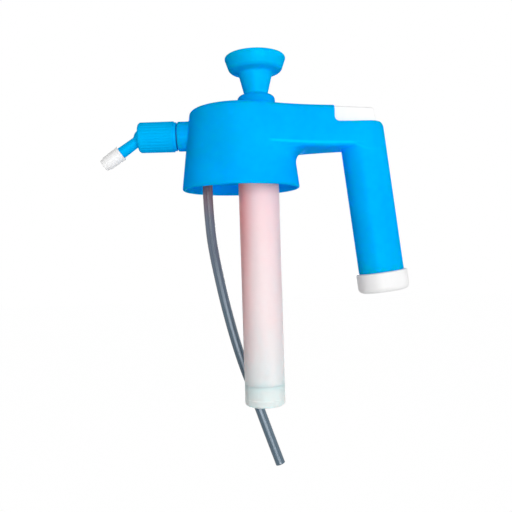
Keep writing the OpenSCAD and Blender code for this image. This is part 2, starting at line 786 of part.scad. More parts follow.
// Stem with the flange behind the valve disc, and the thin end that holds the yoke
module valve_stem() color(steel) on_valve_axis(0) difference() {
    union() {
        translate([0, 0, stem_flange_x]) cylinder(r = disc_d / 2, h = stem_flange_t);
        translate([0, 0, seat_x + disc_t / 2]) cylinder(r = 1.5, h = disc_t);
        translate([0, 0, stem_flange_x]) cylinder(r = stem_d / 2, h = shoulder_x - stem_flange_x);
        translate([0, 0, stem_flange_x]) cylinder(r = stem_end_d / 2, h = stem_end_x - stem_flange_x);
    }
    translate([0, 0, clip_x]) ring(stem_groove_d / 2, stem_d, stem_clip_t);
}

// Rubber disc that closes the seat
module valve_disc() color(dark) on_valve_axis(seat_x + check_gap) difference() {
    cylinder(r = disc_d / 2, h = disc_t - check_gap);
    translate([0, 0, disc_t / 2 - check_gap]) cylinder(r = 1.5 + slide_gap / 2, h = disc_t);
}

// Spring that closes the valve
module valve_spring() color(steel) on_valve_axis(stem_flange_x + stem_flange_t)
    coil_spring(4.2, 0.5, gland_x - stem_oring_t - stem_flange_x - stem_flange_t, 7);

// Flat yoke: a tab on the stem, a loop that clears the pump, and a rod through the bridge
module pull_yoke() color(grey) difference() {
    union() {
        translate([0, 0, yoke_z - yoke_t / 2]) linear_extrude(yoke_t) difference() {
            union() {
                translate([pump_x, 0]) circle(loop_inner_r + loop_w);
                translate([loop_front_x, 0]) circle(loop_inner_r + loop_w);
                translate([tab_x, -tab_half]) square([loop_w + tab_t, 2 * tab_half]);
                translate([pump_x + loop_inner_r + loop_w / 2, -yoke_w / 2])
                    square([yoke_end - pump_x - loop_inner_r - loop_w / 2, yoke_w]);
                translate([pivot_x - 6, -yoke_w / 2 - 2]) square([yoke_end - pivot_x + 6, yoke_w + 4]);
            }
            translate([pump_x, 0]) circle(loop_inner_r);
            translate([loop_front_x, 0]) circle(loop_inner_r);
            translate([pivot_x - finger_r - loose_gap, -finger_w / 2 - lever_gap])
                square([2 * (finger_r + loose_gap), finger_w + 2 * lever_gap]);
        }
        translate([tab_x, -tab_half, yoke_z - yoke_t / 2])
            cube([tab_t, 2 * tab_half, valve_z + 4 - yoke_z + yoke_t / 2]);
    }
    on_valve_axis(tab_x - over) cylinder(r = stem_end_d / 2 + slide_gap, h = tab_t + 2 * over);
}

// Clip that holds the yoke on the stem
module stem_clip() color(steel) on_valve_axis(clip_x) difference() {
    ring(stem_groove_d / 2 + slide_gap / 2, stem_clip_r, stem_clip_t);
    translate([0, -stem_groove_d / 2, -over]) cube([stem_clip_r + over, stem_groove_d, stem_clip_t + 2 * over]);
}

// ---- Grip ----

// White thumb lever: a hollow cap on moulded trunnions, with a finger down to the yoke
module thumb_lever() color(white) {
    translate([pivot_x, 0, pivot_z]) rotate([90, 0, 0])
        cylinder(r = hub_r, h = 2 * lever_half, center = true);
    translate([pivot_x, 0, pivot_z]) rotate([90, 0, 0])
        cylinder(r = trunnion_r, h = 2 * (lever_half + trunnion_len), center = true);
    across(finger_w) {
        translate([pivot_x - finger_r + 0.5, yoke_z]) square([2 * finger_r - 1, pivot_z - yoke_z]);
        translate([pivot_x, yoke_z]) circle(finger_r);
    }
    difference() {
        across(2 * lever_half) lever_outline(0);
        across(2 * (lever_half - lever_t)) lever_outline(lever_t);
    }
    across(2 * lever_half) difference() {
        translate([pivot_x - hub_r, pivot_z]) square([2 * hub_r, top_z - pivot_z - lever_t / 2]);
        translate([pivot_x - hub_r + lever_t, pivot_z]) square([2 * (hub_r - lever_t), top_z - pivot_z - lever_t]);
    }
}

// Side outline of the lever, drawn in by an inset and open below when inset
module lever_outline(inset) {
    low = lever_bottom_z - (inset > 0 ? over : 0);
    heel_low = lever_heel_z - (inset > 0 ? over : 0);
    intersection() {
        translate([pivot_x, pivot_z]) circle(lever_front_r - inset, $fn = 180);
        polygon([
            [pivot_x - lever_front_r, low], [pivot_x, low], [pivot_x, heel_low],
            [lever_heel_x - inset, heel_low], [lever_top_x + lever_top_round - inset, top_z - inset - lever_top_round],
            [lever_top_x - inset, top_z - inset], [pivot_x - lever_front_r, top_z - inset],
        ]);
    }
}

// White cap pressed on the end of the grip
module grip_cap() color(white) at_grip() {
    reach = (grip_d - grip_w) / 2;
    r = grip_w / 2 + cap_lip;
    edge = 1;
    translate([0, 0, -grip_len - cap_h]) hull() for (s = [-1, 1]) translate([s * reach, 0, 0])
        rotate_extrude($fn = 48) {
            translate([r - cap_round, cap_round]) intersection() {
                circle(cap_round, $fn = 32);
                translate([0, -cap_round]) square(cap_round);
            }
            polygon([[0, 0], [r - cap_round, 0], [r, cap_round], [r, cap_h - edge], [r - edge, cap_h], [0, cap_h]]);
        }
    translate([0, 0, -grip_len]) linear_extrude(cap_plug_h) difference() {
        grip_section(shell_t + slide_gap);
        grip_section(shell_t + slide_gap + 1.6);
    }
}

// ---- Nozzle ----

// Ribbed nut that clamps the spout on the nipple
module nozzle_nut() color(blue) on_valve_axis(nut_face_x) difference() {
    r = nut_d / 2;
    rib_end = 2.6;
    cylinder(r = r, h = nut_len);
    translate([0, 0, -over]) cylinder(r = nut_front_r, h = nut_len + 2 * over);
    translate([0, 0, nut_front_t]) cylinder(r = nut_bore_r, h = nut_len);
    // Flare in front that clears the bent tube all the way round
    translate([0, 0, -flare_h]) cylinder(r1 = 2 * flare_r - nut_front_r, r2 = nut_front_r, h = 2 * flare_h);
    for (a = [0 : 360 / nut_grooves : 359]) rotate([0, 0, a])
        translate([r + 0.45, 0, rib_end]) cylinder(r = 0.8, h = nut_len - rib_end - 2, $fn = 16);
    for (end = [0, 1]) translate([0, 0, end * nut_len]) mirror([0, 0, end]) rotate_extrude()
        polygon([[r - 1.1, -over], [r + over, -over], [r + over, 1.9], [r + 0.4, 1.9], [r - 1.1, 0]]);
}

// Spout: flange and sleeve inside the nut, a ball elbow and the bent tube
module nozzle_spout() color(blue) difference() {
    union() {
        on_valve_axis(elbow_x) sphere(r = elbow_d / 2);
        on_valve_axis(elbow_x) cylinder(r = elbow_d / 2 - 0.2, h = nut_shoulder_x - elbow_x + slide_gap + 1);
        on_valve_axis(nut_shoulder_x + slide_gap) cylinder(r = nipple_d / 2 - slide_gap, h = spout_flange_t);
        at_elbow() cylinder(r = spout_d / 2, h = spout_len);
    }
    on_valve_axis(elbow_x) cylinder(r = spout_bore_d / 2, h = 2 * nut_len);
    on_valve_axis(elbow_x) sphere(r = spout_bore_d / 2);
    at_elbow() cylinder(r = spout_bore_d / 2, h = spout_len + over);
    at_elbow() translate([0, 0, oring_at]) ring(spout_d / 2 - 0.9, spout_d, 1.4);
}

// Frame of the bent tube: origin at the elbow, +Z out along the tube
module at_elbow() {
    translate([elbow_x, 0, valve_z]) rotate([0, -90 - spout_bend, 0]) children();
}

// Washer between the spout's flange and the nipple
module spout_washer() color(dark) on_valve_axis(outlet_end_x - washer_t)
    ring(outlet_d / 2, nipple_d / 2 - loose_gap, washer_t);

// White spray tip, turned to set the spray
module nozzle_tip() color(white) at_elbow() rotate_extrude() difference() {
    step = 3;
    end = tip_start + tip_len;
    polygon([
        [0, tip_start], [tip_d / 2, tip_start], [tip_d / 2, tip_start + 0.8], [tip_d / 2 - 0.3, tip_start + 1.2],
        [tip_d / 2 - 0.8, tip_start + 7], [nose_d / 2 + 0.5, end - step], [nose_d / 2, end - step],
        [nose_d / 2, end - 0.8], [nose_d / 2 - 0.8, end], [0, end],
    ]);
    square([tip_bore_r, tip_cavity_end]);
    square([jet_d / 2, end + over]);
}

// Core with slots that spins the water behind the spray hole
module swirl_core() color(grey) at_elbow() translate([0, 0, tip_cavity_end - core_len]) difference() {
    cylinder(r = tip_bore_r - slide_gap, h = core_len);
    translate([0, 0, core_len - 0.8]) cylinder(r = 1.6, h = 1);
    for (a = [0, 120, 240]) rotate([0, 0, a]) translate([1.2, 0, -over])
        cube([tip_bore_r, 0.8, core_len + 2 * over]);
}

// Ring that seals the tip on the spout
module tip_oring() color(dark) at_elbow() translate([0, 0, oring_at])
    ring(spout_d / 2 - 0.9 + slide_gap / 2, tip_bore_r - 0.05, 1.4);

// Clear tube down to the bottle's floor
module dip_tube() color(grey) sweep(hose_route, hose_d / 2, 12, [0, 1, 0]);

housing();
deck_plate();
neck_gasket();
barrel();
barrel_gasket();
guide_collar();
foot_cap();
foot_retainer();
check_disc();
check_spring();
pump_rod();
knob();
piston();
piston_seal();
valve_body();
spigot_oring();
gland_nut();
stem_oring();
valve_stem();
valve_disc();
valve_spring();
pull_yoke();
stem_clip();
thumb_lever();
grip_cap();
nozzle_nut();
nozzle_spout();
spout_washer();
nozzle_tip();
swirl_core();
tip_oring();
dip_tube();
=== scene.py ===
import math

import bpy
import numpy as np
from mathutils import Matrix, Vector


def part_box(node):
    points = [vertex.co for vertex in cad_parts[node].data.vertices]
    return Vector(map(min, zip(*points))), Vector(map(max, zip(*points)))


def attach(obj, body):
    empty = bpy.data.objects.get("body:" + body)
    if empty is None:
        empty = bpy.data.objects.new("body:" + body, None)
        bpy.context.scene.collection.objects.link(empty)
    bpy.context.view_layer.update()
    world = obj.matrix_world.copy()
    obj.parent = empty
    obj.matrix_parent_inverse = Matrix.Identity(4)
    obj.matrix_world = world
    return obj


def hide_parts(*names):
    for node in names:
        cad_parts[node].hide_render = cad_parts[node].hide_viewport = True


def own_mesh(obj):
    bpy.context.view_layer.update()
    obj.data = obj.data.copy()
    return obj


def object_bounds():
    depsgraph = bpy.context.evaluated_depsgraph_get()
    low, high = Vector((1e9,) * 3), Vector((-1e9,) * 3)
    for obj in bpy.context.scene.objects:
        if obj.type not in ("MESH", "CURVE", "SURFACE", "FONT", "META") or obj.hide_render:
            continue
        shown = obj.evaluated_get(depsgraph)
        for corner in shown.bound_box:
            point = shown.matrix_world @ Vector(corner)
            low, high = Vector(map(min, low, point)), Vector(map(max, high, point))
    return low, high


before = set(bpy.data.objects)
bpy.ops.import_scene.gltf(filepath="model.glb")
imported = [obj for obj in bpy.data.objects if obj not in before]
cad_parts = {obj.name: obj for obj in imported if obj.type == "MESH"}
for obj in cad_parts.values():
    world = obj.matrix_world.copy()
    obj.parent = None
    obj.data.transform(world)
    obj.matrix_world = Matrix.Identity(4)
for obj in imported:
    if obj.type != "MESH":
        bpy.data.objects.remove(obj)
CAD_BOX = [list(corner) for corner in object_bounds()]
MM = 0.001


# ---- Where the head hangs ----
# The head normally stands on its bottle. Here it is seen alone, level from the front, over a pale
# floor well below the dip tube's end. One soft box lights it from the front, and two weaker ones from
# the right and from behind.

FLOOR_Z = CAD_BOX[0][2] - 0.40
FLOOR_REACH, FLOOR_GREY, FLOOR_WHITE = 6.0, 0.72, 0.996
ROOM_LIGHT = 0.29
EYE = (9.5 * MM, -425 * MM, -60.5 * MM)
PITCH, LEAN = math.radians(-0.6634), math.radians(1.7756)
LENS, SENSOR = 40.078, 36
LIT_MIDDLE = (0.01, 0, -0.05)


def look(place, pitch, lean):
    """Camera at place, looking along +Y, tipped by pitch and leaning by lean in radians."""
    data = bpy.data.cameras.new("camera")
    data.lens = LENS
    data.sensor_width = SENSOR
    camera = bpy.data.objects.new("camera", data)
    camera.rotation_euler = (math.pi / 2 + pitch, lean, 0)
    camera.location = place
    bpy.context.scene.collection.objects.link(camera)
    bpy.context.scene.camera = camera


def lamp(name, place, size, watts):
    """Square soft box at place, facing the head's middle."""
    data = bpy.data.lights.new(name, "AREA")
    data.shape = "SQUARE"
    data.size = size
    data.energy = watts
    box = bpy.data.objects.new(name, data)
    box.location = place
    aim = np.array(LIT_MIDDLE) - np.array(place)
    down = math.atan2(math.hypot(aim[0], aim[1]), -aim[2])
    box.rotation_euler = (down, 0, math.atan2(aim[1], aim[0]) - math.pi / 2)
    bpy.context.scene.collection.objects.link(box)


class Wire:
    """One output in a material's nodes. Arithmetic on it adds Math nodes; node() adds any other node."""

    def __init__(self, tree, socket):
        self.tree = tree
        self.socket = socket

    def node(self, kind, settings, inputs, out=0):
        """Adds a node: its settings first, then a value or a wire for each named input."""
        made = self.tree.nodes.new(kind)
        for name, value in settings.items():
            setattr(made, name, value)
        for name, value in inputs.items():
            socket = made.inputs[name]
            if isinstance(value, Wire):
                self.tree.links.new(value.socket, socket)
            else:
                socket.default_value = value
        return Wire(self.tree, made.outputs[out])

    def maths(self, operation, *values):
        """A Math node on wires and numbers."""
        return self.node("ShaderNodeMath", {"operation": operation}, dict(enumerate(values)))

    def __add__(self, other):
        return self.maths("ADD", self, other)

    __radd__ = __add__

    def __sub__(self, other):
        return self.maths("SUBTRACT", self, other)

    def __rsub__(self, other):
        return self.maths("SUBTRACT", other, self)

    def __mul__(self, other):
        return self.maths("MULTIPLY", self, other)

    __rmul__ = __mul__

    def __abs__(self):
        return self.maths("ABSOLUTE", self)

    def ramp(self, low, high):
        """0 where self is low, 1 where it is high, smooth between."""
        return self.node("ShaderNodeMapRange", {"interpolation_type": "SMOOTHSTEP"},
                         {"Value": self, "From Min": low, "From Max": high})

    def noise(self, size, detail=3.0, roughness=0.5):
        """Cloudy value round 0.5 with spots about size millimetres wide; self is a place in metres."""
        return self.node("ShaderNodeTexNoise", {"noise_dimensions": "3D"},
                         {"Vector": self, "Scale": 1000 / size, "Detail": detail, "Roughness": roughness})

    def part(self, axis):
        """One coordinate of a place."""
        return self.node("ShaderNodeSeparateXYZ", {}, {"Vector": self}, "XYZ".index(axis))

    def stretched(self, x, y, z):
        """The place with each axis scaled."""
        return self.node("ShaderNodeMapping", {}, {"Vector": self, "Scale": (x, y, z)})

    def tint(self, one, other):
        """Colour one where self is 0, other where it is 1."""
        return self.node("ShaderNodeMix", {"data_type": "RGBA"}, {0: self, 6: one, 7: other}, 2)

    def bump(self, depth, strength):
        """Normal for a relief of depth millimetres, with self as its height from 0 to 1."""
        return self.node("ShaderNodeBump", {}, {"Height": self, "Distance": depth * MM, "Strength": strength})


def fresh_nodes(owner):
    """Empties the nodes of a material or of the world, and returns a wire that new ones start from."""
    owner.use_nodes = True
    owner.node_tree.nodes.clear()
    return Wire(owner.node_tree, None)


def to_output(shader, kind="ShaderNodeOutputMaterial"):
    """Joins the shader to a new output node."""
    out = shader.tree.nodes.new(kind)
    shader.tree.links.new(shader.socket, out.inputs[0])


def white_to_the_eye(lit, white, share=1.0):
    """Shader that is a share of white to the camera, in gloss and through glass, and lit to all else."""
    rays = lit.tree.nodes.new("ShaderNodeLightPath").outputs
    eye = Wire(lit.tree, rays["Is Camera Ray"])
    gloss = Wire(lit.tree, rays["Is Glossy Ray"])
    glass = Wire(lit.tree, rays["Is Transmission Ray"])
    seen = eye.maths("MAXIMUM", eye, gloss.maths("MAXIMUM", gloss, glass))
    return lit.node("ShaderNodeMixShader", {}, {0: seen * share, 1: lit, 2: white})


def pale_room():
    """Dim even light from all round, white to the camera."""
    world = bpy.data.worlds.new("room")
    bpy.context.scene.world = world
    start = fresh_nodes(world)
    dim = start.node("ShaderNodeBackground", {}, {"Color": (1, 1, 1, 1), "Strength": ROOM_LIGHT})
    white = start.node("ShaderNodeBackground", {}, {"Color": (1, 1, 1, 1), "Strength": 1.0})
    to_output(white_to_the_eye(dim, white), "ShaderNodeOutputWorld")


def pale_floor():
    """One wide square of matt pale grey, all but white to the camera."""
    mesh = bpy.data.meshes.new("floor")
    corners = ((-1, -1), (1, -1), (1, 1), (-1, 1))
    mesh.from_pydata([(x * FLOOR_REACH, y * FLOOR_REACH, FLOOR_Z) for x, y in corners], [], [(0, 1, 2, 3)])
    floor = bpy.data.objects.new("floor", mesh)
    bpy.context.scene.collection.objects.link(floor)
    material = bpy.data.materials.new("pale_floor")
    start = fresh_nodes(material)
    matt = start.node("ShaderNodeBsdfDiffuse", {}, {"Color": (FLOOR_GREY, FLOOR_GREY, FLOOR_GREY, 1)})
    glow = start.node("ShaderNodeEmission", {}, {})
    to_output(white_to_the_eye(matt, glow, FLOOR_WHITE))
    mesh.materials.append(material)


look(EYE, PITCH, LEAN)
pale_room()
pale_floor()
lamp("key", (0.34, -1.70, -0.20), 1.35, 26.2)
lamp("fill", (1.25, -0.1, 0.25), 0.9, 3.0)
lamp("back", (0.05, 1.70, 0.15), 0.7, 9.0)
bpy.context.scene.view_settings.view_transform = "Standard"


# ---- Dip tube ----
# Clear soft PVC tube, 7.5 mm outside with a 4.5 mm bore, extruded and cut to length. It is pushed into
# the spigot under the valve and hangs down past the pump to the bottle's floor, where it is cut square.

HOSE_D, HOSE_BORE_D = 7.5, 4.5
HOSE_ROUTE = np.array([
    (-25, 0, 4), (-25, 0, -10), (-25, 0.5, -22), (-24.5, 2, -36), (-23.5, 5, -52),
    (-21.5, 9, -68), (-18.5, 13, -86), (-15.5, 16.5, -102), (-12, 19, -118), (-8, 20.5, -134),
    (-3, 21, -151), (3.5, 21, -170), (9.5, 20.5, -188), (16, 20, -207), (23.5, 19.5, -228.5),
], float)
# Heights in metres between which the tube turns from smoky green to grey, clear to hazy, and takes on a
# painted pink reflection of the barrel.
HOSE_GREY_Z, HOSE_HAZY_Z, HOSE_PINK_REFLECTION_Z = (-0.13, -0.04), (-0.10, -0.03), (-0.042, -0.018)


def new_material(name):
    """An empty material, and the wire of the object's own coordinates in it."""
    material = bpy.data.materials.new(name)
    return material, fresh_nodes(material).node("ShaderNodeTexCoord", {}, {}, "Object")


def finished(material, shader):
    """The material, with the shader at its output."""
    to_output(shader)
    return material


def surface(place, **sockets):
    """Principled shader with these sockets; underscores in the names stand for spaces."""
    return place.node("ShaderNodeBsdfPrincipled", {}, {k.replace("_", " "): v for k, v in sockets.items()})


def rgb(red, green, blue):
    """Linear colour of an sRGB one given from 0 to 255."""
    def linear(v):
        v = v / 255
        return v / 12.92 if v <= 0.04045 else ((v + 0.055) / 1.055) ** 2.4
    return (linear(red), linear(green), linear(blue), 1)


def shaded(colour, *shares):
    """The colour with these shares of its red, green and blue, or one share for all three."""
    return tuple(c * share for c, share in zip(colour[:3], shares * 3)) + (1,)


def new_piece(name, body, points, faces, material, smooth_to=40):
    """Adds a piece from points in millimetres and arrays of quads and triangles; it rides on a body."""
    mesh = bpy.data.meshes.new(name)
    sizes = np.concatenate([np.full(len(f), f.shape[1]) for f in faces])
    corners = np.concatenate([np.asarray(f).ravel() for f in faces]).astype(np.int32)
    mesh.vertices.add(len(points))
    mesh.vertices.foreach_set("co", (np.asarray(points) * MM).astype(np.float32).ravel())
    mesh.loops.add(len(corners))
    mesh.loops.foreach_set("vertex_index", corners)
    mesh.polygons.add(len(sizes))
    mesh.polygons.foreach_set("loop_start", np.concatenate([[0], np.cumsum(sizes)[:-1]]).astype(np.int32))
    mesh.update(calc_edges=True)
    mesh.shade_smooth()
    mesh.set_sharp_from_angle(angle=math.radians(smooth_to))
    mesh.materials.append(material)
    piece = bpy.data.objects.new(name, mesh)
    bpy.context.scene.collection.objects.link(piece)
    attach(piece, body)
    return piece


def skin(grid, wrap_rows=False):
    """Points and faces of a surface given as closed rows of points: quads between neighbours, and
    triangles round a first or last row whose points coincide, which becomes one pole."""
    rows, columns = grid.shape[:2]
    index = np.arange(rows * columns).reshape(rows, columns)
    for row in (0, rows - 1):
        if np.ptp(grid[row], axis=0).max() < 1e-6:
            index[row] = index[row, 0]
    if wrap_rows:
        index = np.vstack([index, index[:1]])
    index = np.hstack([index, index[:, :1]])
    quads = np.stack([index[:-1, :-1], index[:-1, 1:], index[1:, 1:], index[1:, :-1]], -1).reshape(-1, 4)
    first_pole = quads[:, 0] == quads[:, 1]
    last_pole = quads[:, 2] == quads[:, 3]
    whole = quads[~first_pole & ~last_pole]
    fans = np.vstack([quads[first_pole][:, [0, 2, 3]], quads[last_pole][:, [0, 1, 2]]])
    used, order = np.unique(np.concatenate([whole.ravel(), fans.ravel()]), return_inverse=True)
    faces = [order[:whole.size].reshape(-1, 4)]
    if len(fans):
        faces.append(order[whole.size:].reshape(-1, 3))
    return grid.reshape(-1, 3)[used], faces


def curve_through(points, step):
    """Smooth curve through points, a Catmull-Rom spline, with a point about every step millimetres."""
    ends = np.vstack([2 * points[0] - points[1], points, 2 * points[-1] - points[-2]])
    runs = []
    for i in range(1, len(ends) - 2):
        a, b, c, d = ends[i - 1:i + 3]
        count = max(2, int(np.linalg.norm(c - b) / step))
        t = (np.arange(count) / count)[:, None]
        runs.append(0.5 * (2 * b + (c - a) * t + (2 * a - 5 * b + 4 * c - d) * t**2
                           + (3 * b - a - 3 * c + d) * t**3))
    return np.vstack([*runs, points[-1:]])


def carried(path, ring, up):
    """Sections carried along a path: ring holds (side, lift) offsets, up a way the path never goes."""
    heading = np.gradient(path, axis=0)
    heading /= np.linalg.norm(heading, axis=1)[:, None]
    side = np.cross(heading, up)
    side /= np.linalg.norm(side, axis=1)[:, None]
    lift = np.cross(heading, side)
    return path[:, None] + ring[None, :, :1] * side[:, None] + ring[None, :, 1:] * lift[:, None]


def circle(radius, count):
    """Points at equal angles: radius times cosine and sine."""
    angle = np.arange(count) * 2 * np.pi / count
    return radius * np.stack([np.cos(angle), np.sin(angle)], -1)


def hose_material(name, top, low, clear):
    """Smoky clear PVC: dark along its sides, where the wall is thickest to look through, and clearer
    along its middle, more so towards the end that stays in the liquid. Near its top, beside the pink
    barrel, a pink reflection of the barrel is painted on."""
    material, place = new_material(name)
    haze = place.stretched(1, 1, 0.1).noise(4)
    height = place.part("Z")
    tone = height.ramp(*HOSE_GREY_Z).tint(low, top)
    tone = (haze.ramp(0.3, 0.7) * 0.15).tint(tone, rgb(96, 100, 108))
    # Painted reflection: the barrel's pink laid on the tube near its top.
    tone = (height.ramp(*HOSE_PINK_REFLECTION_Z) * 0.7).tint(tone, rgb(140, 108, 116))
    shader = surface(place, Base_Color=tone, Roughness=haze * 0.15 + 0.14, Normal=haze.bump(0.02, 0.3),
                     Specular_IOR_Level=0.35)
    through = place.node("ShaderNodeBsdfTransparent", {}, {"Color": (0.90, 0.93, 0.96, 1)})
    facing = place.node("ShaderNodeLayerWeight", {}, {"Blend": 0.5}, 1)
    thin = (1 - facing.ramp(0.0, 0.15)) * (1 - height.ramp(*HOSE_HAZY_Z) * 0.6)
    mixed = place.node("ShaderNodeMixShader", {}, {0: 1 - thin * clear, 1: through, 2: shader})
    return finished(material, mixed)


def dip_tube():
    """Tube wall carried along the route: outer skin down, cut end, bore back up."""
    path = curve_through(HOSE_ROUTE, 2.0)
    outer = carried(path, circle(HOSE_D / 2, 24), (0, 1, 0))
    bore = carried(path, circle(HOSE_BORE_D / 2, 24), (0, 1, 0))[::-1]
    points, faces = skin(np.concatenate([outer, bore]), wrap_rows=True)
    wall = hose_material("dip_tube_pvc", rgb(106, 118, 136), rgb(82, 104, 120), 0.94)
    inner = hose_material("dip_tube_bore", rgb(196, 206, 218), rgb(226, 238, 246), 0.66)
    piece = new_piece("dip_tube_hose", "head", points, faces, wall)
    piece.data.materials.append(inner)
    in_bore = np.zeros(len(piece.data.polygons), np.int32)
    in_bore[len(outer) * outer.shape[1]:] = 1
    piece.data.polygons.foreach_set("material_index", in_bore)
    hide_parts("dip_tube")


dip_tube()


# ---- Housing ----
# One polypropylene moulding in bright blue: the drafted round head with its skirt, the waisted bridge,
# the pistol grip and the stub for the nozzle. All its edges are softened and its walls are even.

HOUSING_LOW, HOUSING_HIGH = (np.array(corner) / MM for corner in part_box("housing"))
WALL = 2.4
RIM_Z, RIM_ROUND = -16.0, 1.6
TOP_Z, TOP_ROUND = HOUSING_HIGH[2], 3.0
HEAD_R, DRAFT = HOUSING_HIGH[1] + 0.12, math.radians(6.9)
SKIRT_R, LEDGE_R = HEAD_R - 5.1, HEAD_R - 6.5
LEAD_IN_Z, DECK_Z = RIM_Z + 8, 5.5
BRIDGE_Z, BRIDGE_END_X, WAIST_R = TOP_Z - 30, 90.7, 160.0
BRIDGE_ROUND, BRIDGE_FILLET = 3.0, 10.5
RIB_PLACES, RIB_TOP_Z, RIB_W = (48, 64, 80), 16.7, 2
GRIP_X, GRIP_TILT = 93.2, math.radians(6.6)
GRIP_D, GRIP_W, GRIP_LEN = 33.1, 28.0, 80.2
GRIP_FLAT, GRIP_ROUND, GRIP_FILLET = (GRIP_D - GRIP_W) / 2, 0.6, 0.5
CHEEK_X, CHEEK_Z, CHEEK_HALF_GAP = 69.0, 30.0, GRIP_W / 2 - WALL
CHEEK_ROUND, REAR_ROUND = 3.5, 6.0
PIVOT, TRUNNION_R, TRUNNION_LEN = (92.0, 27.0), 2.2, 1.3
LEVER_FRONT_R, LEVER_GAP = math.hypot(PIVOT[0] - CHEEK_X, TOP_Z - PIVOT[1]), 0.4
WELL_END_X, FINGER_Z = 98.2, 18.5
STUB_R, STUB_X, STUB_INNER_X = 10.9, HOUSING_LOW[0], -30
STUB_ROUND, STUB_FILLET = 0.7, 1.0
VALVE_Z, NIPPLE_R = 25.0, 8.3
PUMP_X, COLLAR_HOLE_R = 13.0, 12.3
LEAD_IN_ROUND, STEP_ROUND, MOUTH_ROUND = 0.8, 0.9, 0.35
# Zones in x: the stub's side, the half of the bridge that meets the grip, and the grip's back.
STUB_SIDE_X, GRIP_SIDE_X, BACK_X = -20, 60, 85
# Height in millimetres of the painted highlight along the bridge's lower edges.
PAINTED_HIGHLIGHT_Z = 14.55


def rounded_and(a, b, r):
    """Distance to what two shapes share, their common edge rounded to radius r."""
    return np.minimum(np.maximum(a, b), -r) + np.hypot(np.maximum(a + r, 0), np.maximum(b + r, 0))


def filleted_or(a, b, r):
    """Distance to two joined shapes, with a hollow fillet of radius r where they meet."""
    return np.maximum(np.minimum(a, b), r) - np.hypot(np.maximum(r - a, 0), np.maximum(r - b, 0))


def fanned_or(a, b, r, power):
    """As filleted_or, with a fillet that is a flat bevel at power 1 and round at power 2."""
    fill = np.maximum(r - a, 0) ** power + np.maximum(r - b, 0) ** power
    return np.maximum(np.minimum(a, b), r) - fill ** (1 / power)


def head_radius(z):
    """Radius of the head, which its draft makes smaller towards the top."""
    return HEAD_R - (z - RIM_Z) * math.tan(DRAFT)


def grip_loop(x, side, z):
    """Distance to the grip's round-ended prism, two half circles joined by straights, and the places
    across and along it. Its own axis leans away from the bottle."""
    across = (x - GRIP_X) * math.cos(GRIP_TILT) + z * math.sin(GRIP_TILT)
    along = z * math.cos(GRIP_TILT) - (x - GRIP_X) * math.sin(GRIP_TILT)
    return np.hypot(np.maximum(np.abs(across) - GRIP_FLAT, 0), side) - GRIP_W / 2, across, along


def waist(x, side, z):
    """Distance to the bridge's hollow flanks, with its slopes in x and y, and to the wedge between the
    lines where they leave the head. At each height the flank's arc touches the drafted head."""
    middle_y = GRIP_W / 2 + WAIST_R
    reach = WAIST_R + head_radius(z)
    middle_x = np.sqrt(reach ** 2 - middle_y ** 2)
    dx, dy = np.minimum(x - middle_x, 0), side - middle_y
    from_middle = np.hypot(dx, dy)
    wedge = (side * middle_x - x * middle_y) / reach
    return WAIST_R - from_middle, -dx / from_middle, -dy / from_middle, wedge


def housing_outside(x, side, z):
    """Distance to the housing's outer skin: a cone for the head, a slab with two hollow flanks for the
    bridge and a round-ended prism for the grip, joined. The fillet under the bridge fans out from the
    lines where the flanks leave the head: past those lines its depth grows evenly and its width with
    the square, and it goes from a bevel to a round. It fades where the surfaces run the same way."""
    radius = np.hypot(x, side) + 1e-6
    cone = (radius - head_radius(z)) * math.cos(DRAFT)
    cone = rounded_and(cone, RIM_Z - z, RIM_ROUND)

    flank, slope_x, slope_y, wedge = waist(x, side, z)
    under = BRIDGE_Z - z
    arm = rounded_and(flank, under, BRIDGE_ROUND)
    arm = np.maximum(arm, np.maximum(wedge, x - BRIDGE_END_X))

    # alike is 1 where head and arm face the same way, and steep stretches the distance from the cone,
    # which makes the fillet deeper than it is wide.
    flank_share = np.maximum(flank + BRIDGE_ROUND, 0)
    under_share = np.maximum(under + BRIDGE_ROUND, 0)
    alike = (x * slope_x + side * slope_y) / radius * math.cos(DRAFT) * flank_share
    alike = (alike - math.sin(DRAFT) * under_share) / (np.hypot(flank_share, under_share) + 1e-6)
    past = np.maximum(-wedge, 0)
    deep = np.clip(0.45 * past, 0.3, BRIDGE_FILLET)
    wide = np.clip(past ** 2 / 64 - 0.1, 0.1, BRIDGE_FILLET)
    steep = 1 + (np.minimum(deep / wide, 5) - 1) * np.clip(past / 2, 0, 1) * np.clip(5 - z / 4, 0, 1)
    steep = np.where(z < 0, 1, steep)
    size = deep * np.clip(1 - alike, 0.02, 1)
    power = np.clip(1 + past / 26, 1.1, 2)
    body = fanned_or(cone * steep, arm, size, power)

    grip, _, along = grip_loop(x, side, z)
    grip = rounded_and(grip, -GRIP_LEN - along, GRIP_ROUND)
    body = np.where(x > GRIP_SIDE_X, filleted_or(body, grip, GRIP_FILLET), body)

    stub = np.hypot(side, z - VALVE_Z) - STUB_R
    stub = np.maximum(rounded_and(stub, STUB_X - x, STUB_ROUND), x - STUB_INNER_X)
    body = np.where(x < STUB_SIDE_X, filleted_or(body, stub, STUB_FILLET), body)
    return rounded_and(body, z - TOP_Z, TOP_ROUND)


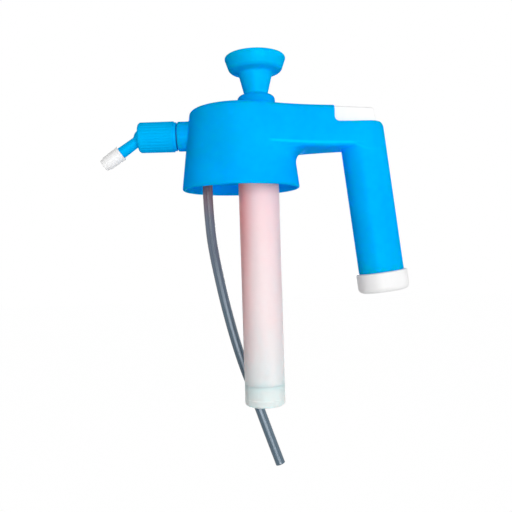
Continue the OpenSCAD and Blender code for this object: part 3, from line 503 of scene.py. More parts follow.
def housing_hollows(x, side, z):
    """Distances to the cavities: the skirt's lead-in; the lever's well and the collar's hole, which open
    in the top; and the bore, the room over the deck plate, the insides of bridge and grip, the trunnion
    holes and the nipple's hole."""
    radius = np.hypot(x, side)
    lead_in = np.maximum(radius - head_radius(z) + WALL, z - LEAD_IN_Z)
    bore = np.maximum(radius - SKIRT_R, z - DECK_Z)
    roof_z = TOP_Z - WALL
    share = np.clip((z - DECK_Z) / (roof_z - DECK_Z), 0, 1)
    room_r = LEDGE_R + (head_radius(roof_z) - WALL - LEDGE_R) * share
    room = np.maximum(np.maximum(radius - room_r, z - roof_z), DECK_Z - 3 - z)

    flank, _, _, wedge = waist(x, side, z)
    floor_z = BRIDGE_Z + WALL
    duct = np.maximum(np.maximum(flank + WALL, wedge), np.maximum(floor_z - z, z - roof_z))
    duct = np.maximum(duct, x - PIVOT[0])
    for rib_x in RIB_PLACES:
        duct = np.maximum(duct, -np.maximum(np.abs(x - rib_x - RIB_W / 2) - RIB_W / 2, z - RIB_TOP_Z))
    grip, _, _ = grip_loop(x, side, z)
    sleeve = np.maximum(grip + WALL, z - CHEEK_Z + WALL)

    from_pivot = np.hypot(x - PIVOT[0], z - PIVOT[1])
    swing = np.maximum(np.maximum(from_pivot - LEVER_FRONT_R - LEVER_GAP, x - PIVOT[0]), floor_z - z)
    behind = np.maximum(np.maximum(PIVOT[0] - 1 - x, x - WELL_END_X), FINGER_Z - z)
    well = np.maximum(np.minimum(swing, behind), side - CHEEK_HALF_GAP)
    trunnion_hole = np.maximum(from_pivot - TRUNNION_R - 0.1, side - CHEEK_HALF_GAP - 1)
    collar_hole = np.maximum(np.hypot(x - PUMP_X, side) - COLLAR_HOLE_R, DECK_Z - z)
    nipple_hole = np.maximum(np.hypot(side, z - VALVE_Z) - NIPPLE_R, x - STUB_INNER_X)
    inside = [bore, room, duct, sleeve, trunnion_hole, nipple_hole]
    return lead_in, np.minimum(well, collar_hole), np.minimum.reduce(inside)


def housing_field(x, side, z):
    """Distance to the whole moulding, negative in the plastic: the outer skin less the step behind the
    roof, its rear corner rounded, less the cavities."""
    body = housing_outside(x, side, z)
    step = rounded_and(CHEEK_X - x, CHEEK_Z - z, CHEEK_ROUND)
    body = rounded_and(body, -step, STEP_ROUND)
    _, across, _ = grip_loop(x, side, z)
    back, up = across - GRIP_D / 2 + REAR_ROUND, z - CHEEK_Z + REAR_ROUND
    corner = np.hypot(np.maximum(back, 0), np.maximum(up, 0)) - REAR_ROUND
    body = np.where(x > BACK_X, np.maximum(body, corner), body)
    lead_in, open_cuts, inside = housing_hollows(x, side, z)
    body = rounded_and(body, -lead_in, LEAD_IN_ROUND)
    body = rounded_and(body, -open_cuts, MOUTH_ROUND)
    return np.maximum(body, -inside)


def moulded(field, low, high, cell):
    """Points and quads of the surface where field is zero, by surface nets: every cell of a grid that the
    surface crosses gets one point, the mean of the crossings on its edges, and every crossed edge gets
    a quad between its four cells. The points are then moved along the field's slope onto the surface.
    The field is worked out for y above 0 only, and mirrored."""
    axes = [np.arange(a - 2 * cell, b + 2 * cell, cell) for a, b in zip(low, high)]
    axes[1] = np.arange(0, high[1] + 2 * cell, cell)
    x, y = np.meshgrid(axes[0], axes[1], indexing="ij")
    value = np.stack([field(x, y, z + 0 * x).astype(np.float32) for z in axes[2]], axis=2)
    value = np.concatenate([value[:, :0:-1], value], axis=1)
    start = np.array([axes[0][0], -axes[1][-1], axes[2][0]])
    inside = value < 0
    strides = np.array([value.shape[1] * value.shape[2], value.shape[2], 1])
    places, cells = [], []
    for d in range(3):
        e, f = (d + 1) % 3, (d + 2) % 3
        step = np.eye(3, dtype=int)
        first = [slice(1, -1)] * 3
        second = [slice(1, -1)] * 3
        first[d], second[d] = slice(0, -1), slice(1, None)
        at = np.argwhere(inside[tuple(first)] != inside[tuple(second)]) + 1 - step[d]
        a, b = value[tuple(at.T)], value[tuple((at + step[d]).T)]
        crossing = at + (a / (a - b))[:, None] * step[d]
        ring = np.stack([at, at - step[e], at - step[e] - step[f], at - step[f]], axis=1)
        ring[a > 0] = ring[a > 0][:, ::-1]
        places.append(np.repeat(crossing, 4, axis=0))
        cells.append(ring @ strides)
    places, cells = np.vstack(places), np.vstack(cells)
    used, faces = np.unique(cells.ravel(), return_inverse=True)
    count = np.bincount(faces)
    points = np.stack([np.bincount(faces, places[:, k]) / count for k in range(3)], -1) * cell + start
    return onto_surface(points, field, cell), faces.reshape(-1, 4)


def onto_surface(points, field, cell):
    """Moves points down or up the field's slope until the field is zero, by half a cell at most."""
    def at(p):
        return field(p[:, 0], np.abs(p[:, 1]), p[:, 2])
    nudge = 0.02 * cell
    start = points
    for _ in range(3):
        slope = np.stack([at(points + nudge * axis) - at(points - nudge * axis) for axis in np.eye(3)], -1)
        slope /= 2 * nudge
        move = -at(points)[:, None] * slope / np.maximum((slope ** 2).sum(1), 0.25)[:, None]
        points = start + np.clip(points + 0.8 * move - start, -0.5 * cell, 0.5 * cell)
    return points


def thin_out(piece, triangles):
    """Collapses the flattest edges of a piece that has more triangles than this."""
    have = sum(len(p.vertices) - 2 for p in piece.data.polygons)
    if have <= triangles:
        return
    thin = piece.modifiers.new("thin", "DECIMATE")
    thin.ratio = triangles / have
    graph = bpy.context.evaluated_depsgraph_get()
    mesh = bpy.data.meshes.new_from_object(piece.evaluated_get(graph))
    piece.modifiers.remove(thin)
    piece.data = mesh
    mesh.shade_smooth()
    mesh.set_sharp_from_angle(angle=math.radians(50))


def blue_plastic(name, colour, depth, painted_highlight=None):
    """Dyed polypropylene: even colour with faint flow clouds, a fine spark-eroded grain, scuffed spots
    that are rougher. In a thick piece blue light spreads over a depth in millimetres, so that its shade
    stays blue. The last argument, where given, turns a place into the share of a painted highlight
    there: a paler blue laid over the colour."""
    material, place = new_material(name)
    clouds = place.noise(38, 2)
    grain = place.noise(0.45, 2, 0.6)
    rub = place.noise(9, 4, 0.65).ramp(0.56, 0.72)
    tone = clouds.ramp(0.3, 0.7).tint(shaded(colour, 1, 0.90, 0.96), colour)
    rough = grain * 0.05 + rub * 0.07 + 0.2
    if painted_highlight:
        # Painted highlight: where the mask is one, a paler blue replaces the colour.
        tone = painted_highlight(place).tint(tone, (0, min(colour[1] * 1.3, 1), 1, 1))
    shader = surface(place, Base_Color=tone, Roughness=rough, Normal=grain.bump(0.02, 0.35),
                     Metallic=0.03, Specular_IOR_Level=0.0, Specular_Tint=(0.2, 0.7, 1.0, 1),
                     Subsurface_Weight=0.75 if depth else 0, Subsurface_Radius=(0.05, 0.05, 1.0),
                     Subsurface_Scale=depth * MM)
    shader.socket.node.subsurface_method = "BURLEY"
    return finished(material, shader)


def bridge_edge_highlight(place):
    """Mask of a painted highlight along the lower edges of the bridge: one on the edge's rounding, and
    nought a millimetre off it. It starts where the edge leaves the head, weakens along the bridge and
    turns down into the grip."""
    x, z = place.part("X"), place.part("Z")
    turn_down = (x - 0.079).ramp(0, 0.016) * 0.005
    off = abs(z + turn_down - PAINTED_HIGHLIGHT_Z * MM)
    along = x.ramp(0.0190, 0.0245) * (1 - x.ramp(0.04, 0.075) * 0.4) * (1 - x.ramp(0.078, 0.096) * 0.8)
    return (1 - off.ramp(0.0004, 0.0013)) * along


def housing():
    cell = 0.55
    points, faces = moulded(housing_field, HOUSING_LOW, HOUSING_HIGH, cell)
    # The housing's blue gets a painted highlight along the bridge's lower edges.
    material = blue_plastic("housing_blue", rgb(0, 181, 254), 24, bridge_edge_highlight)
    piece = new_piece("housing_moulding", "head", points, [faces], material)
    thin_out(piece, 195000)
    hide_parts("housing")


housing()


# ---- Knob ----
# Blue polypropylene pull, moulded in one piece: a broad head with a soft rim over a tapered neck. The
# plug under it is pressed into the pink rod, so the two move as one.

KNOB_TOP_Z, KNOB_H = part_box("knob")[1][2] / MM, 27
COLLAR_TOP_Z = KNOB_TOP_Z - KNOB_H
PUMP_AXIS = ((PUMP_X, 0, 0), (0, 0, 1), (1, 0, 0))


def softened(corners, closed=False, steps=7):
    """Outline through corners given as (out, along, radius): a corner with a radius becomes an arc that
    touches both of its sides."""
    corners = np.array(corners, float)
    count = len(corners)
    outline = []
    for i, (out, along, radius) in enumerate(corners):
        here = np.array([out, along])
        if radius <= 0 or (not closed and i in (0, count - 1)):
            outline.append(here[None])
            continue
        back = corners[i - 1][:2] - here
        ahead = corners[(i + 1) % count][:2] - here
        back /= np.linalg.norm(back)
        ahead /= np.linalg.norm(ahead)
        half = math.acos(np.clip(back @ ahead, -1, 1)) / 2
        middle = here + (back + ahead) / np.linalg.norm(back + ahead) * radius / math.sin(half)
        first = here + back * radius / math.tan(half) - middle
        last = here + ahead * radius / math.tan(half) - middle
        share = np.linspace(0, 1, steps)[:, None]
        turn = math.pi - 2 * half
        arc = (np.sin((1 - share) * turn) * first + np.sin(share * turn) * last) / math.sin(turn)
        outline.append(middle + arc)
    return np.vstack(outline)


def turned(radius, along, axis, count=128):
    """Rows of circles round an axis, given as its origin, its direction and where angle 0 points. The
    radius may also vary round each circle, as rows by columns."""
    origin, ahead, zero = (np.array(v, float) for v in axis)
    side = np.cross(ahead, zero)
    angle = (np.arange(count) * 2 * np.pi / count)[None, :, None]
    radius = np.broadcast_to(np.reshape(radius, (len(along), -1)), (len(along), count))[..., None]
    return origin + along[:, None, None] * ahead + radius * (np.cos(angle) * zero + np.sin(angle) * side)


def turned_piece(name, body, corners, axis, material, closed=False, count=128):
    """Piece turned round an axis from an outline that runs up its outer side."""
    outline = softened(corners, closed)
    points, faces = skin(turned(outline[:, 0], outline[:, 1], axis, count), wrap_rows=closed)
    return new_piece(name, body, points, faces, material)


def join(piece, other):
    """Adds other's closed shell to piece."""
    with bpy.context.temp_override(active_object=piece, selected_editable_objects=[piece, other]):
        bpy.ops.object.join()


def knob():
    """Outline turned round the pump's axis, from the neck's foot up to the rim, and the plug's outline."""
    foot, top = COLLAR_TOP_Z - 1.7, KNOB_TOP_Z
    corners = [
        (0, foot, 0), (9.86, foot, 0.2), (9.86, foot + 0.9, 0.3), (8.75, foot + 1.3, 0.4),
        (12.6, top - 12.2, 2.5), (19.4, top - 10.5, 4), (23.05, top - 0.08, 1.4), (18, top, 6), (0, top, 0),
    ]
    plug = [(0, foot - 9, 0), (7.9, foot - 9, 0.8), (7.9, foot + 0.2, 0), (0, foot + 0.2, 0)]
    blue = blue_plastic("knob_blue", rgb(0, 192, 254), 8)
    piece = turned_piece("pump_knob", "plunger", corners, PUMP_AXIS, blue)
    join(piece, turned_piece("pump_knob_plug", "plunger", plug, PUMP_AXIS, blue))
    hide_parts("knob")


knob()


# ---- Guide collar ----
# Blue polypropylene bush that screws into the pump barrel through the roof. Its head keeps the rod
# upright, and its flange clamps the roof.

BARREL_TOP_Z = 15


def guide_collar():
    """Closed outline turned round the pump's axis: plug, neck through the roof, flange, head and bore."""
    low, roof, flange_z, top = 3, TOP_Z, TOP_Z + 2.5, COLLAR_TOP_Z - 1.6
    plug_r, neck_r, flange_r, head_r, bore_r = 12.9, COLLAR_HOLE_R - 0.3, 16.5, 14, 9.9
    corners = [
        (plug_r, low, 0.4), (plug_r, BARREL_TOP_Z, 0.3), (neck_r, BARREL_TOP_Z, 0), (neck_r, roof, 0),
        (flange_r, roof, 0.3), (flange_r, flange_z, 1), (head_r, flange_z, 0.5), (head_r, top, 3.6),
        (bore_r, top, 0.6), (bore_r, low, 0.3),
    ]
    blue = blue_plastic("collar_blue", rgb(0, 173, 254), 8)
    piece = turned_piece("rod_guide_collar", "head", corners, PUMP_AXIS, blue, closed=True)
    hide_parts("guide_collar")


guide_collar()


# ---- Pump barrel and foot ----
# Tube of milky polypropylene with a flange, which the guide collar's thread draws up to the deck plate.
# The foot that closes it holds the check valve; a fine seam shows where the two meet.

BARREL_Z, FOOT_Z = (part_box(node)[0][2] / MM for node in ("barrel", "foot_cap"))
BARREL_R, BARREL_BORE_R, BARREL_FLANGE_R = 15, 13, 18
# Heights in metres between which the white turns pink, and greenish turns white.
PINK_Z, WHITE_Z = (-0.10, -0.01), (-0.17, -0.095)


def milky_plastic(name, top, middle, foot, clear):
    """Unpigmented polypropylene: haze that turns from the rod's pink cast at the top to greenish white.
    On the spout's side, away from the lamps, a deeper pink is painted as shade, strongest near the top."""
    material, place = new_material(name)
    height = place.part("Z")
    to_spout = (PUMP_X * MM - place.part("X")) * (1 / (BARREL_R * MM))
    haze = place.stretched(1, 1, 0.2).noise(14, 3)
    upper = height.ramp(*PINK_Z)
    lower = height.ramp(*WHITE_Z)
    colour = upper.tint(lower.tint(foot, middle), top)
    # Painted shade: a deeper pink on the side towards the spout, which faces away from the lamps.
    painted_shade_pink = to_spout.ramp(0.2, 1.05) * (upper * 0.5 + lower * 0.4)
    colour = painted_shade_pink.tint(colour, rgb(255, 138, 136))
    colour = (haze.ramp(0.35, 0.75) * 0.12).tint(colour, rgb(255, 255, 255))
    shader = surface(place, Base_Color=colour, Roughness=haze * 0.10 + 0.30, Specular_IOR_Level=0.25,
                     Normal=place.stretched(1, 1, 0.1).noise(0.8, 2).bump(0.01, 0.3),
                     Subsurface_Weight=0.85, Subsurface_Radius=(1.0, 0.4, 0.35), Subsurface_Scale=12 * MM)
    shader.socket.node.subsurface_method = "BURLEY"
    through = place.node("ShaderNodeBsdfTransparent", {}, {"Color": rgb(252, 238, 238)})
    mixed = place.node("ShaderNodeMixShader", {}, {0: 1 - clear, 1: through, 2: shader})
    return finished(material, mixed)


def barrel():
    """Closed outline of the wall and its flange, turned round the pump's axis."""
    milk = milky_plastic("barrel_milky_pp", rgb(255, 218, 222), rgb(248, 231, 234), rgb(234, 239, 240), 0.04)
    r, bore, flange, low, top = BARREL_R, BARREL_BORE_R, BARREL_FLANGE_R, BARREL_Z, BARREL_TOP_Z
    corners = [
        (r, low, 0.16), (r, -2, 0.3), (flange, -2, 0.3), (flange, 1, 0.3), (r, 1, 0.2), (r, top, 0.4),
        (bore, top, 0.4), (bore, low, 0.2),
    ]
    piece = turned_piece("pump_barrel", "head", corners, PUMP_AXIS, milk, closed=True)
    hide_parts("barrel")


def foot_cap():
    """Closed outline turned round the pump's axis: wall, plug in the barrel, inlet and valve seat."""
    white = rgb(234, 240, 240)
    milk = milky_plastic("foot_greenish_pp", white, white, rgb(230, 240, 239), 0.02)
    low, step, seat, seam, top = FOOT_Z, FOOT_Z + 5.1, FOOT_Z + 12.4, BARREL_Z, BARREL_Z + 3
    r, plug_r, bore, inlet = BARREL_R, BARREL_BORE_R - 0.1, 8.5, 3
    corners = [
        (bore, low, 0.4), (r, low, 1.6), (r, step, 0.1), (r - 0.08, step + 0.2, 0.1), (r - 0.04, seam, 0.16),
        (plug_r, seam, 0), (plug_r, top, 0.3), (inlet, top, 0.3), (inlet, seat, 0), (bore, seat, 0.3),
    ]
    piece = turned_piece("pump_foot", "head", corners, PUMP_AXIS, milk, closed=True)
    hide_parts("foot_cap")


barrel()
foot_cap()


# ---- Thumb lever ----
# White polypropylene cap that swings between the cheeks on two moulded trunnions. A finger under its
# hub reaches down into the yoke that pulls the valve open.

LEVER_SLOPE, LEVER_ROUND, LEVER_WALL = 0.072, 1.4, 1.8
HEEL_LOW_X, HEEL_TOP_X = 99.6, 97.0
HUB_R, POST_T = 4, 2.8
FINGER_T, FINGER_W, FINGER_TIP_R = 3.2, 4, 1.9


def white_plastic(name, colour=rgb(243, 243, 243)):
    """White polypropylene with a fine grain, faint clouds and a little dirt."""
    material, place = new_material(name)
    clouds = place.noise(17, 3)
    grain = place.noise(0.5, 2, 0.6)
    tone = clouds.ramp(0.45, 0.75).tint(colour, shaded(colour, 0.95))
    shader = surface(place, Base_Color=tone, Roughness=grain * 0.1 + clouds * 0.08 + 0.32,
                     Normal=grain.bump(0.02, 0.3), Specular_IOR_Level=0.4)
    return finished(material, shader)


def lever_field(x, side, z):
    """Distance to the lever: its side outline, an arc about the pivot in front and a sloping heel behind,
    given a width and softened; hollow below, with a post up from the hub, trunnions and the finger."""
    half, seat_z = CHEEK_HALF_GAP - LEVER_GAP, CHEEK_Z + 0.3
    from_pivot = np.hypot(x - PIVOT[0], z - PIVOT[1])
    slope = np.array([TOP_Z - seat_z, HEEL_LOW_X - HEEL_TOP_X])
    slope /= np.linalg.norm(slope)
    heel = (x - HEEL_LOW_X) * slope[0] + (z - seat_z) * slope[1]
    low = np.where(x < PIVOT[0], CHEEK_Z - 2, seat_z) - z
    top_z = TOP_Z - LEVER_SLOPE * (x - CHEEK_X)

    def shape(inset, soft):
        front = np.maximum(from_pivot - LEVER_FRONT_R + inset, x - PIVOT[0] - 3)
        back = np.maximum(heel + inset, PIVOT[0] - 3 - x)
        outline = rounded_and(np.minimum(front, back), z - top_z + inset, soft)
        return rounded_and(outline, side - half + inset, soft)

    hollow = np.maximum(shape(LEVER_WALL, 0.6), low - 1)
    cap = np.maximum(np.maximum(shape(0, LEVER_ROUND), low), -hollow)
    hub = np.maximum(from_pivot - HUB_R, side - half)
    middle = np.abs(x - PIVOT[0])
    post = np.maximum(middle - POST_T / 2, PIVOT[1] - z)
    post = np.maximum(post, np.maximum(z - top_z + 1, side - half + 0.8))
    trunnion = rounded_and(from_pivot - TRUNNION_R, side - half - TRUNNION_LEN, 0.4)
    tip = np.hypot(middle, z - FINGER_Z) - FINGER_TIP_R
    finger = np.where(z > FINGER_Z, middle - FINGER_T / 2, tip)
    finger = rounded_and(np.maximum(finger, z - PIVOT[1]), side - FINGER_W / 2, 0.4)
    return np.minimum(np.minimum(filleted_or(cap, post, 0.4), filleted_or(hub, trunnion, 0.2)), finger)


def thumb_lever():
    """The lever's field made a surface."""
    low, high = (np.array(corner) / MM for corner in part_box("thumb_lever"))
    points, faces = moulded(lever_field, low - 1, high + 1, 0.34)
    white = white_plastic("lever_white", rgb(253, 253, 253))
    piece = new_piece("thumb_lever_cap", "lever", points, [faces], white)
    thin_out(piece, 60000)
    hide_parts("thumb_lever")


thumb_lever()


# ---- Grip cap ----
# White polypropylene cap, as round-ended as the grip and a little wider, with a heavily rounded lower
# edge. A short sleeve on it is pressed into the hollow grip.

CAP_H, CAP_BRIM = 14.7, 2.25
CAP_SLEEVE_R, CAP_SLEEVE_H = 11.5, 9


def grip_cap():
    """Rows of round-ended loops: two half circles joined by straights, as wide as the outline says."""
    low, floor, end, top = -GRIP_LEN - CAP_H, -GRIP_LEN - 2, -GRIP_LEN, -GRIP_LEN + CAP_SLEEVE_H
    wide, outer, inner = GRIP_W / 2 + CAP_BRIM, CAP_SLEEVE_R, CAP_SLEEVE_R - 1.6
    outline = softened([
        (0, low, 0), (wide, low, 4), (wide, end, 1.0), (outer, end, 0), (outer, top, 0.5), (inner, top, 0.5),
        (inner, floor, 0), (0, floor, 0),
    ])
    count = 112
    angle = (np.arange(count) + 0.5) * 2 * np.pi / count
    out = outline[:, :1]
    across = out * np.cos(angle) + GRIP_FLAT * np.sign(np.cos(angle)) * (out > 1e-6)
    side = out * np.sin(angle)
    along = np.broadcast_to(outline[:, 1:], across.shape)
    x = GRIP_X + across * math.cos(GRIP_TILT) - along * math.sin(GRIP_TILT)
    z = along * math.cos(GRIP_TILT) + across * math.sin(GRIP_TILT)
    points, faces = skin(np.stack([x, side, z], -1))
    piece = new_piece("grip_end_cap", "head", points, faces, white_plastic("cap_white"))
    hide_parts("grip_cap")


grip_cap()


# ---- Nozzle ----
# Three polypropylene mouldings. The ribbed blue nut clamps the spout's flange on the valve's outlet;
# the spout leaves it through a ball elbow, bent down; the white tip on it turns to set the spray.

NUT_X, NUT_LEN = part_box("nozzle_nut")[0][0] / MM, 29.3
NUT_R, NUT_TAPER, NUT_RIBS = 11.3, 0.15, 28
GROOVE_D, GROOVE_HALF_W = 0.28, 0.6545
VALVE_AXIS = ((NUT_X, 0, VALVE_Z), (1, 0, 0), (0, 1, 0))
ELBOW_X, BALL_R, BEND = NUT_X + 3.3, 6.25, math.radians(34.5)
SPOUT_AXIS = ((ELBOW_X, 0, VALVE_Z), (-math.cos(BEND), 0, -math.sin(BEND)), (0, 1, 0))
SPOUT_R, SPOUT_BORE_R, SPOUT_LEN, SPOUT_SWELL = 4, 2, 30.4, 0.3
SLEEVE_R, FLANGE_R, FLANGE_X = 5.8, 7.9, NUT_X + 12.9
SEAL_AT, SEAL_GROOVE_R, SEAL_GROOVE_W = 25.9, 3.1, 1.4
TIP_START = 19.2


def nozzle_nut():
    """Turned outline whose outer wall dips between each two ribs in a groove. Its depth goes with the
    root of one less the square of the way off its middle."""
    r, bore, shoulder, end = NUT_R, 6.2, 12.8, NUT_LEN
    outline = softened([
        (9.4, 1.2, 0.5), (10.2, 1.2, 0.5), (r - NUT_TAPER, 2.5, 0.8), (r, end - 2.2, 0.2),
        (10.6, end - 1.9, 0.2), (10.5, end, 0.5), (NIPPLE_R, end, 0.4), (NIPPLE_R, shoulder, 0.3),
        (bore, shoulder, 0.2), (bore, 2.4, 0.6),
    ], closed=True)
    count = 24 * NUT_RIBS
    turn = np.arange(count) * 2 * np.pi / count
    front = np.flatnonzero((outline[:, 0] > r - 0.2) & (outline[:, 1] < end / 2))[-1] + 1
    run = np.linspace(3.0, end - 2.9, 9)
    wall = np.stack([r - NUT_TAPER * (1 - run / end), run], -1)
    outline = np.vstack([outline[:front], wall, outline[front:]])
    depth = np.zeros((len(outline), 1))
    depth[front + 1:front + len(run) - 1] = GROOVE_D
    off = (turn * NUT_RIBS / np.pi % 2 - 1) * r * np.pi / NUT_RIBS
    groove = np.clip(1 - (off / GROOVE_HALF_W) ** 2, 0, 1) ** 0.5
    radius = outline[:, :1] - depth * groove
    points, faces = skin(turned(radius, outline[:, 1], VALVE_AXIS, count), wrap_rows=True)
    piece = new_piece("nozzle_ribbed_nut", "nut", points, faces, NOZZLE_BLUE, smooth_to=55)
    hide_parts("nozzle_nut")


def spout_field(x, side, z):
    """Distance to the spout: ball, sleeve and flange on the valve's axis, and the bent tube, which swells
    a little towards the tip and has a groove for its seal; all bored."""
    rise = z - VALVE_Z
    from_axis = np.hypot(side, rise)
    ball = np.sqrt((x - ELBOW_X) ** 2 + side ** 2 + rise ** 2) - BALL_R
    sleeve = np.maximum(from_axis - SLEEVE_R, np.abs(x - ELBOW_X - 5) - 5)
    flange = rounded_and(from_axis - FLANGE_R, np.abs(x - FLANGE_X - 1) - 1, 0.3)
    along = -(x - ELBOW_X) * math.cos(BEND) - rise * math.sin(BEND)
    off = (x - ELBOW_X) * math.sin(BEND) - rise * math.cos(BEND)
    from_tube = np.hypot(side, off)
    swell = SPOUT_SWELL * np.clip((along - 6) / 12, 0, 1) - 0.05
    swell = np.where(along < TIP_START - 0.2, swell, 0)
    tube = rounded_and(from_tube - SPOUT_R - swell, along - SPOUT_LEN, 0.4)
    tube = np.maximum(tube, -along)
    body = filleted_or(filleted_or(ball, sleeve, 0.1), flange, 0.3)
    body = filleted_or(body, tube, 0.7)
    groove = np.maximum(np.abs(along - SEAL_AT) - SEAL_GROOVE_W / 2, SEAL_GROOVE_R - from_tube)
    bore = np.minimum(np.maximum(from_axis, ELBOW_X - x), np.maximum(from_tube, -along)) - SPOUT_BORE_R
    return np.maximum(np.maximum(body, -groove), -bore)


def nozzle_spout():
    """The spout's field made a surface."""
    low, high = (np.array(corner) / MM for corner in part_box("nozzle_spout"))
    points, faces = moulded(spout_field, low, high, 0.3)
    piece = new_piece("nozzle_bent_spout", "spout", points, [faces], NOZZLE_BLUE)
    thin_out(piece, 70000)
    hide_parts("nozzle_spout")


def nozzle_tip():
    """Closed outline of the hollow tip, turned round the spout's axis."""
    start, nose, floor = TIP_START, 35.4, 33.1
    corners = [
        (0.5, nose, 0.1), (4.4, nose, 0.9), (4.7, nose - 2.7, 0.3), (5.2, nose - 3, 0.4),
        (5.4, start + 7, 6), (5.55, start + 1.4, 0.3), (5.8, start + 1, 0.3), (5.8, start, 0.3),
        (4.3, start, 0.3), (4.1, floor, 0.1), (0.5, floor, 0),
    ]
    white = white_plastic("tip_white", rgb(253, 253, 253))
    piece = turned_piece("nozzle_spray_tip", "tip", corners[::-1], SPOUT_AXIS, white,
                         closed=True, count=96)
    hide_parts("nozzle_tip")


NOZZLE_BLUE = blue_plastic("nozzle_blue", rgb(0, 188, 254), 0)
nozzle_nut()
nozzle_spout()
nozzle_tip()


# ---- Neck thread ----
# Inside the skirt one ridge winds up the wall a turn and a half and takes the bottle's thread. It is
# moulded in one with the housing, four millimetres of rise to the turn, and fades out at both ends.

THREAD_PITCH, THREAD_TURNS, THREAD_LOW_Z, THREAD_ANGLE = 4, 1.5, -7.2, 0.7


def neck_thread():
    """Trapezoid ridge along a helix, as rows of four corners and a pole at each end."""
    share = np.linspace(0, 1, 200)
    angle = share * THREAD_TURNS * 2 * np.pi + THREAD_ANGLE
    middle_z = THREAD_LOW_Z + THREAD_PITCH * THREAD_TURNS * share
    fade = np.clip(np.minimum(share, 1 - share) / 0.06, 0.05, 1) ** 0.6
    root_r = SKIRT_R + 0.2
    rows = []
    for depth, lift in ((0, -1.1), (1.35, -0.45), (1.35, 0.45), (0, 1.1)):
        r = root_r - depth * fade
        rows.append(np.stack([r * np.cos(angle), r * np.sin(angle), middle_z + lift * fade], -1))
    grid = np.stack(rows, axis=1)
    ends = [np.repeat(grid[i].mean(0)[None, None], 4, axis=1) for i in (0, -1)]
    points, faces = skin(np.concatenate([ends[0], grid, ends[1]]))
    material = blue_plastic("thread_blue", rgb(0, 181, 254), 0)
    new_piece("neck_thread_ridge", "head", points, faces, material, smooth_to=30)


neck_thread()


# ---- Springs and seals ----
# Two small compression springs of drawn steel wire: one closes the spray valve, the other one only
# presses the pump's check disc to its seat. Round rubber rings seal the spigot and the spray tip.

def drawn_steel(name, colour):
    """Bare metal with fine lines from drawing or turning, and a few dull spots."""
    material, place = new_material(name)
    lines = place.stretched(1, 1, 6).noise(0.6, 3, 0.6)
    dull = place.noise(5, 3)
    tone = dull.ramp(0.45, 0.7).tint(colour, shaded(colour, 0.8))
    shader = surface(place, Base_Color=tone, Metallic=1.0, Roughness=lines * 0.15 + dull * 0.15 + 0.2,
                     Normal=lines.bump(0.01, 0.4))
    return finished(material, shader)


def soft_rubber(name):
    """Black nitrile rubber: matt, with moulding dust in its fine grain."""
    material, place = new_material(name)
    grain = place.noise(0.3, 3, 0.6)
    dust = place.noise(4, 4, 0.6)
    tone = dust.ramp(0.5, 0.75).tint(rgb(38, 38, 40), rgb(70, 70, 70))
    shader = surface(place, Base_Color=tone, Roughness=grain * 0.2 + 0.6, Normal=grain.bump(0.02, 0.5),
                     Specular_IOR_Level=0.3)
    return finished(material, shader)


def coil_spring(name, node, middle_r, wire_r, length, turns, axis):
    """Round wire wound along an axis, its end turns closed."""
    foot, ahead, zero = (np.array(v, float) for v in axis)
    turn = np.linspace(0, turns, turns * 40 + 1)
    climb = np.clip((turn - 1) / (turns - 2), 0, 1)
    along = wire_r + 0.8 * wire_r * turn / turns + (length - 2.8 * wire_r) * climb
    angle = 2 * np.pi * turn
    path = foot + along[:, None] * ahead + middle_r * (
        np.cos(angle)[:, None] * zero + np.sin(angle)[:, None] * np.cross(ahead, zero))
    grid = carried(path, circle(wire_r, 12), ahead)
    ends = [np.repeat(path[i][None, None], 12, axis=1) for i in (0, -1)]
    points, faces = skin(np.concatenate([ends[0], grid, ends[1]]))
    piece = new_piece(name, "head", points, faces, SPRING_STEEL)
    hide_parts(node)
    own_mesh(piece)


def rubber_ring(name, body, node, middle_r, half_w, half_h, axis):
    """Ring of oval section turned round an axis, squeezed a little in its groove."""
    angle = np.arange(20) * 2 * np.pi / 20
    grid = turned(middle_r + half_w * np.cos(angle)[:, None], half_h * np.sin(angle), axis, 96)
    points, faces = skin(grid, wrap_rows=True)
    piece = new_piece(name, body, points, faces, RUBBER)
    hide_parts(node)


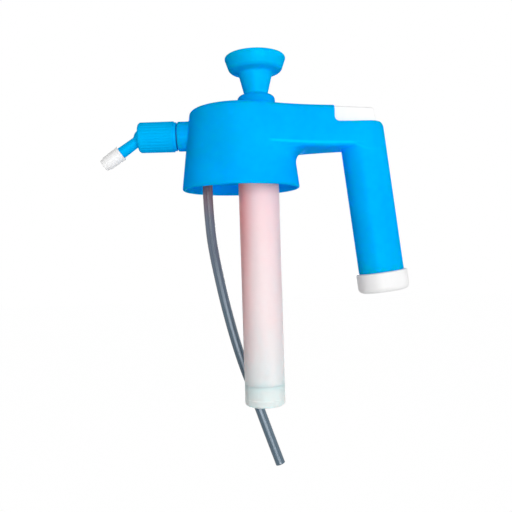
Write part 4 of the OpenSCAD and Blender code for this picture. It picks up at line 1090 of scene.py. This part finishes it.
SPRING_STEEL = drawn_steel("spring_wire", rgb(190, 190, 186))
RUBBER = soft_rubber("nitrile_rubber")
coil_spring("valve_closing_spring", "valve_spring", middle_r=4.2, wire_r=0.5, length=15.7,
            turns=7, axis=((-34.5, 0, VALVE_Z), (1, 0, 0), (0, 1, 0)))
coil_spring("check_valve_spring", "check_spring", middle_r=3.4, wire_r=0.35, length=7.8,
            turns=5, axis=((PUMP_X, 0, FOOT_Z + 2.5), (0, 0, 1), (1, 0, 0)))
rubber_ring("spigot_seal_ring", "head", "spigot_oring", middle_r=6.65, half_w=1.05, half_h=0.64,
            axis=((HOSE_ROUTE[0][0], 0, 4.85), (0, 0, 1), (1, 0, 0)))
rubber_ring("spray_tip_seal_ring", "spout", "tip_oring", middle_r=3.6, half_w=0.45, half_h=0.69,
            axis=(np.array(SPOUT_AXIS[0]) + SEAL_AT * np.array(SPOUT_AXIS[1]), *SPOUT_AXIS[1:]))


# ---- Plain parts inside ----
# The deck plate, the valve and the pump's inner parts keep the shapes of their solids. They are left
# as moulded or turned, so they show flow marks, grain and turning lines.

def unfinished_plastic(name, colour):
    """Moulded plastic that nobody sees: cloudy, with flow lines and a matt grain."""
    material, place = new_material(name)
    flow = place.stretched(0.3, 1, 1).noise(9, 4, 0.6)
    grain = place.noise(0.35, 2, 0.6)
    tone = flow.ramp(0.35, 0.7).tint(colour, shaded(colour, 0.88))
    shader = surface(place, Base_Color=tone, Roughness=grain * 0.15 + flow * 0.1 + 0.42,
                     Normal=grain.bump(0.02, 0.4), Specular_IOR_Level=0.35)
    return finished(material, shader)


def paint(material, *nodes):
    """Gives these solids the material in place of their own."""
    for node in nodes:
        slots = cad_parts[node].data.materials
        for i in range(len(slots)):
            slots[i] = material


paint(unfinished_plastic("inner_white_pp", rgb(238, 238, 234)), "deck_plate", "piston", "gland_nut")
paint(unfinished_plastic("inner_grey_pp", rgb(176, 180, 184)), "pull_yoke", "foot_retainer", "swirl_core")
# The valve body is blue, made deeper than the housing's blue as painted shade where it shows in the gap
# between the nozzle nut and the stub.
paint(unfinished_plastic("valve_blue_painted_shade_pp", rgb(0, 120, 205)), "valve_body")
paint(unfinished_plastic("rod_pink_pp", rgb(236, 120, 122)), "pump_rod")
paint(RUBBER, "neck_gasket", "barrel_gasket", "check_disc", "piston_seal", "valve_disc", "stem_oring",
      "spout_washer")
paint(drawn_steel("turned_steel", rgb(200, 200, 198)), "valve_stem", "stem_clip")
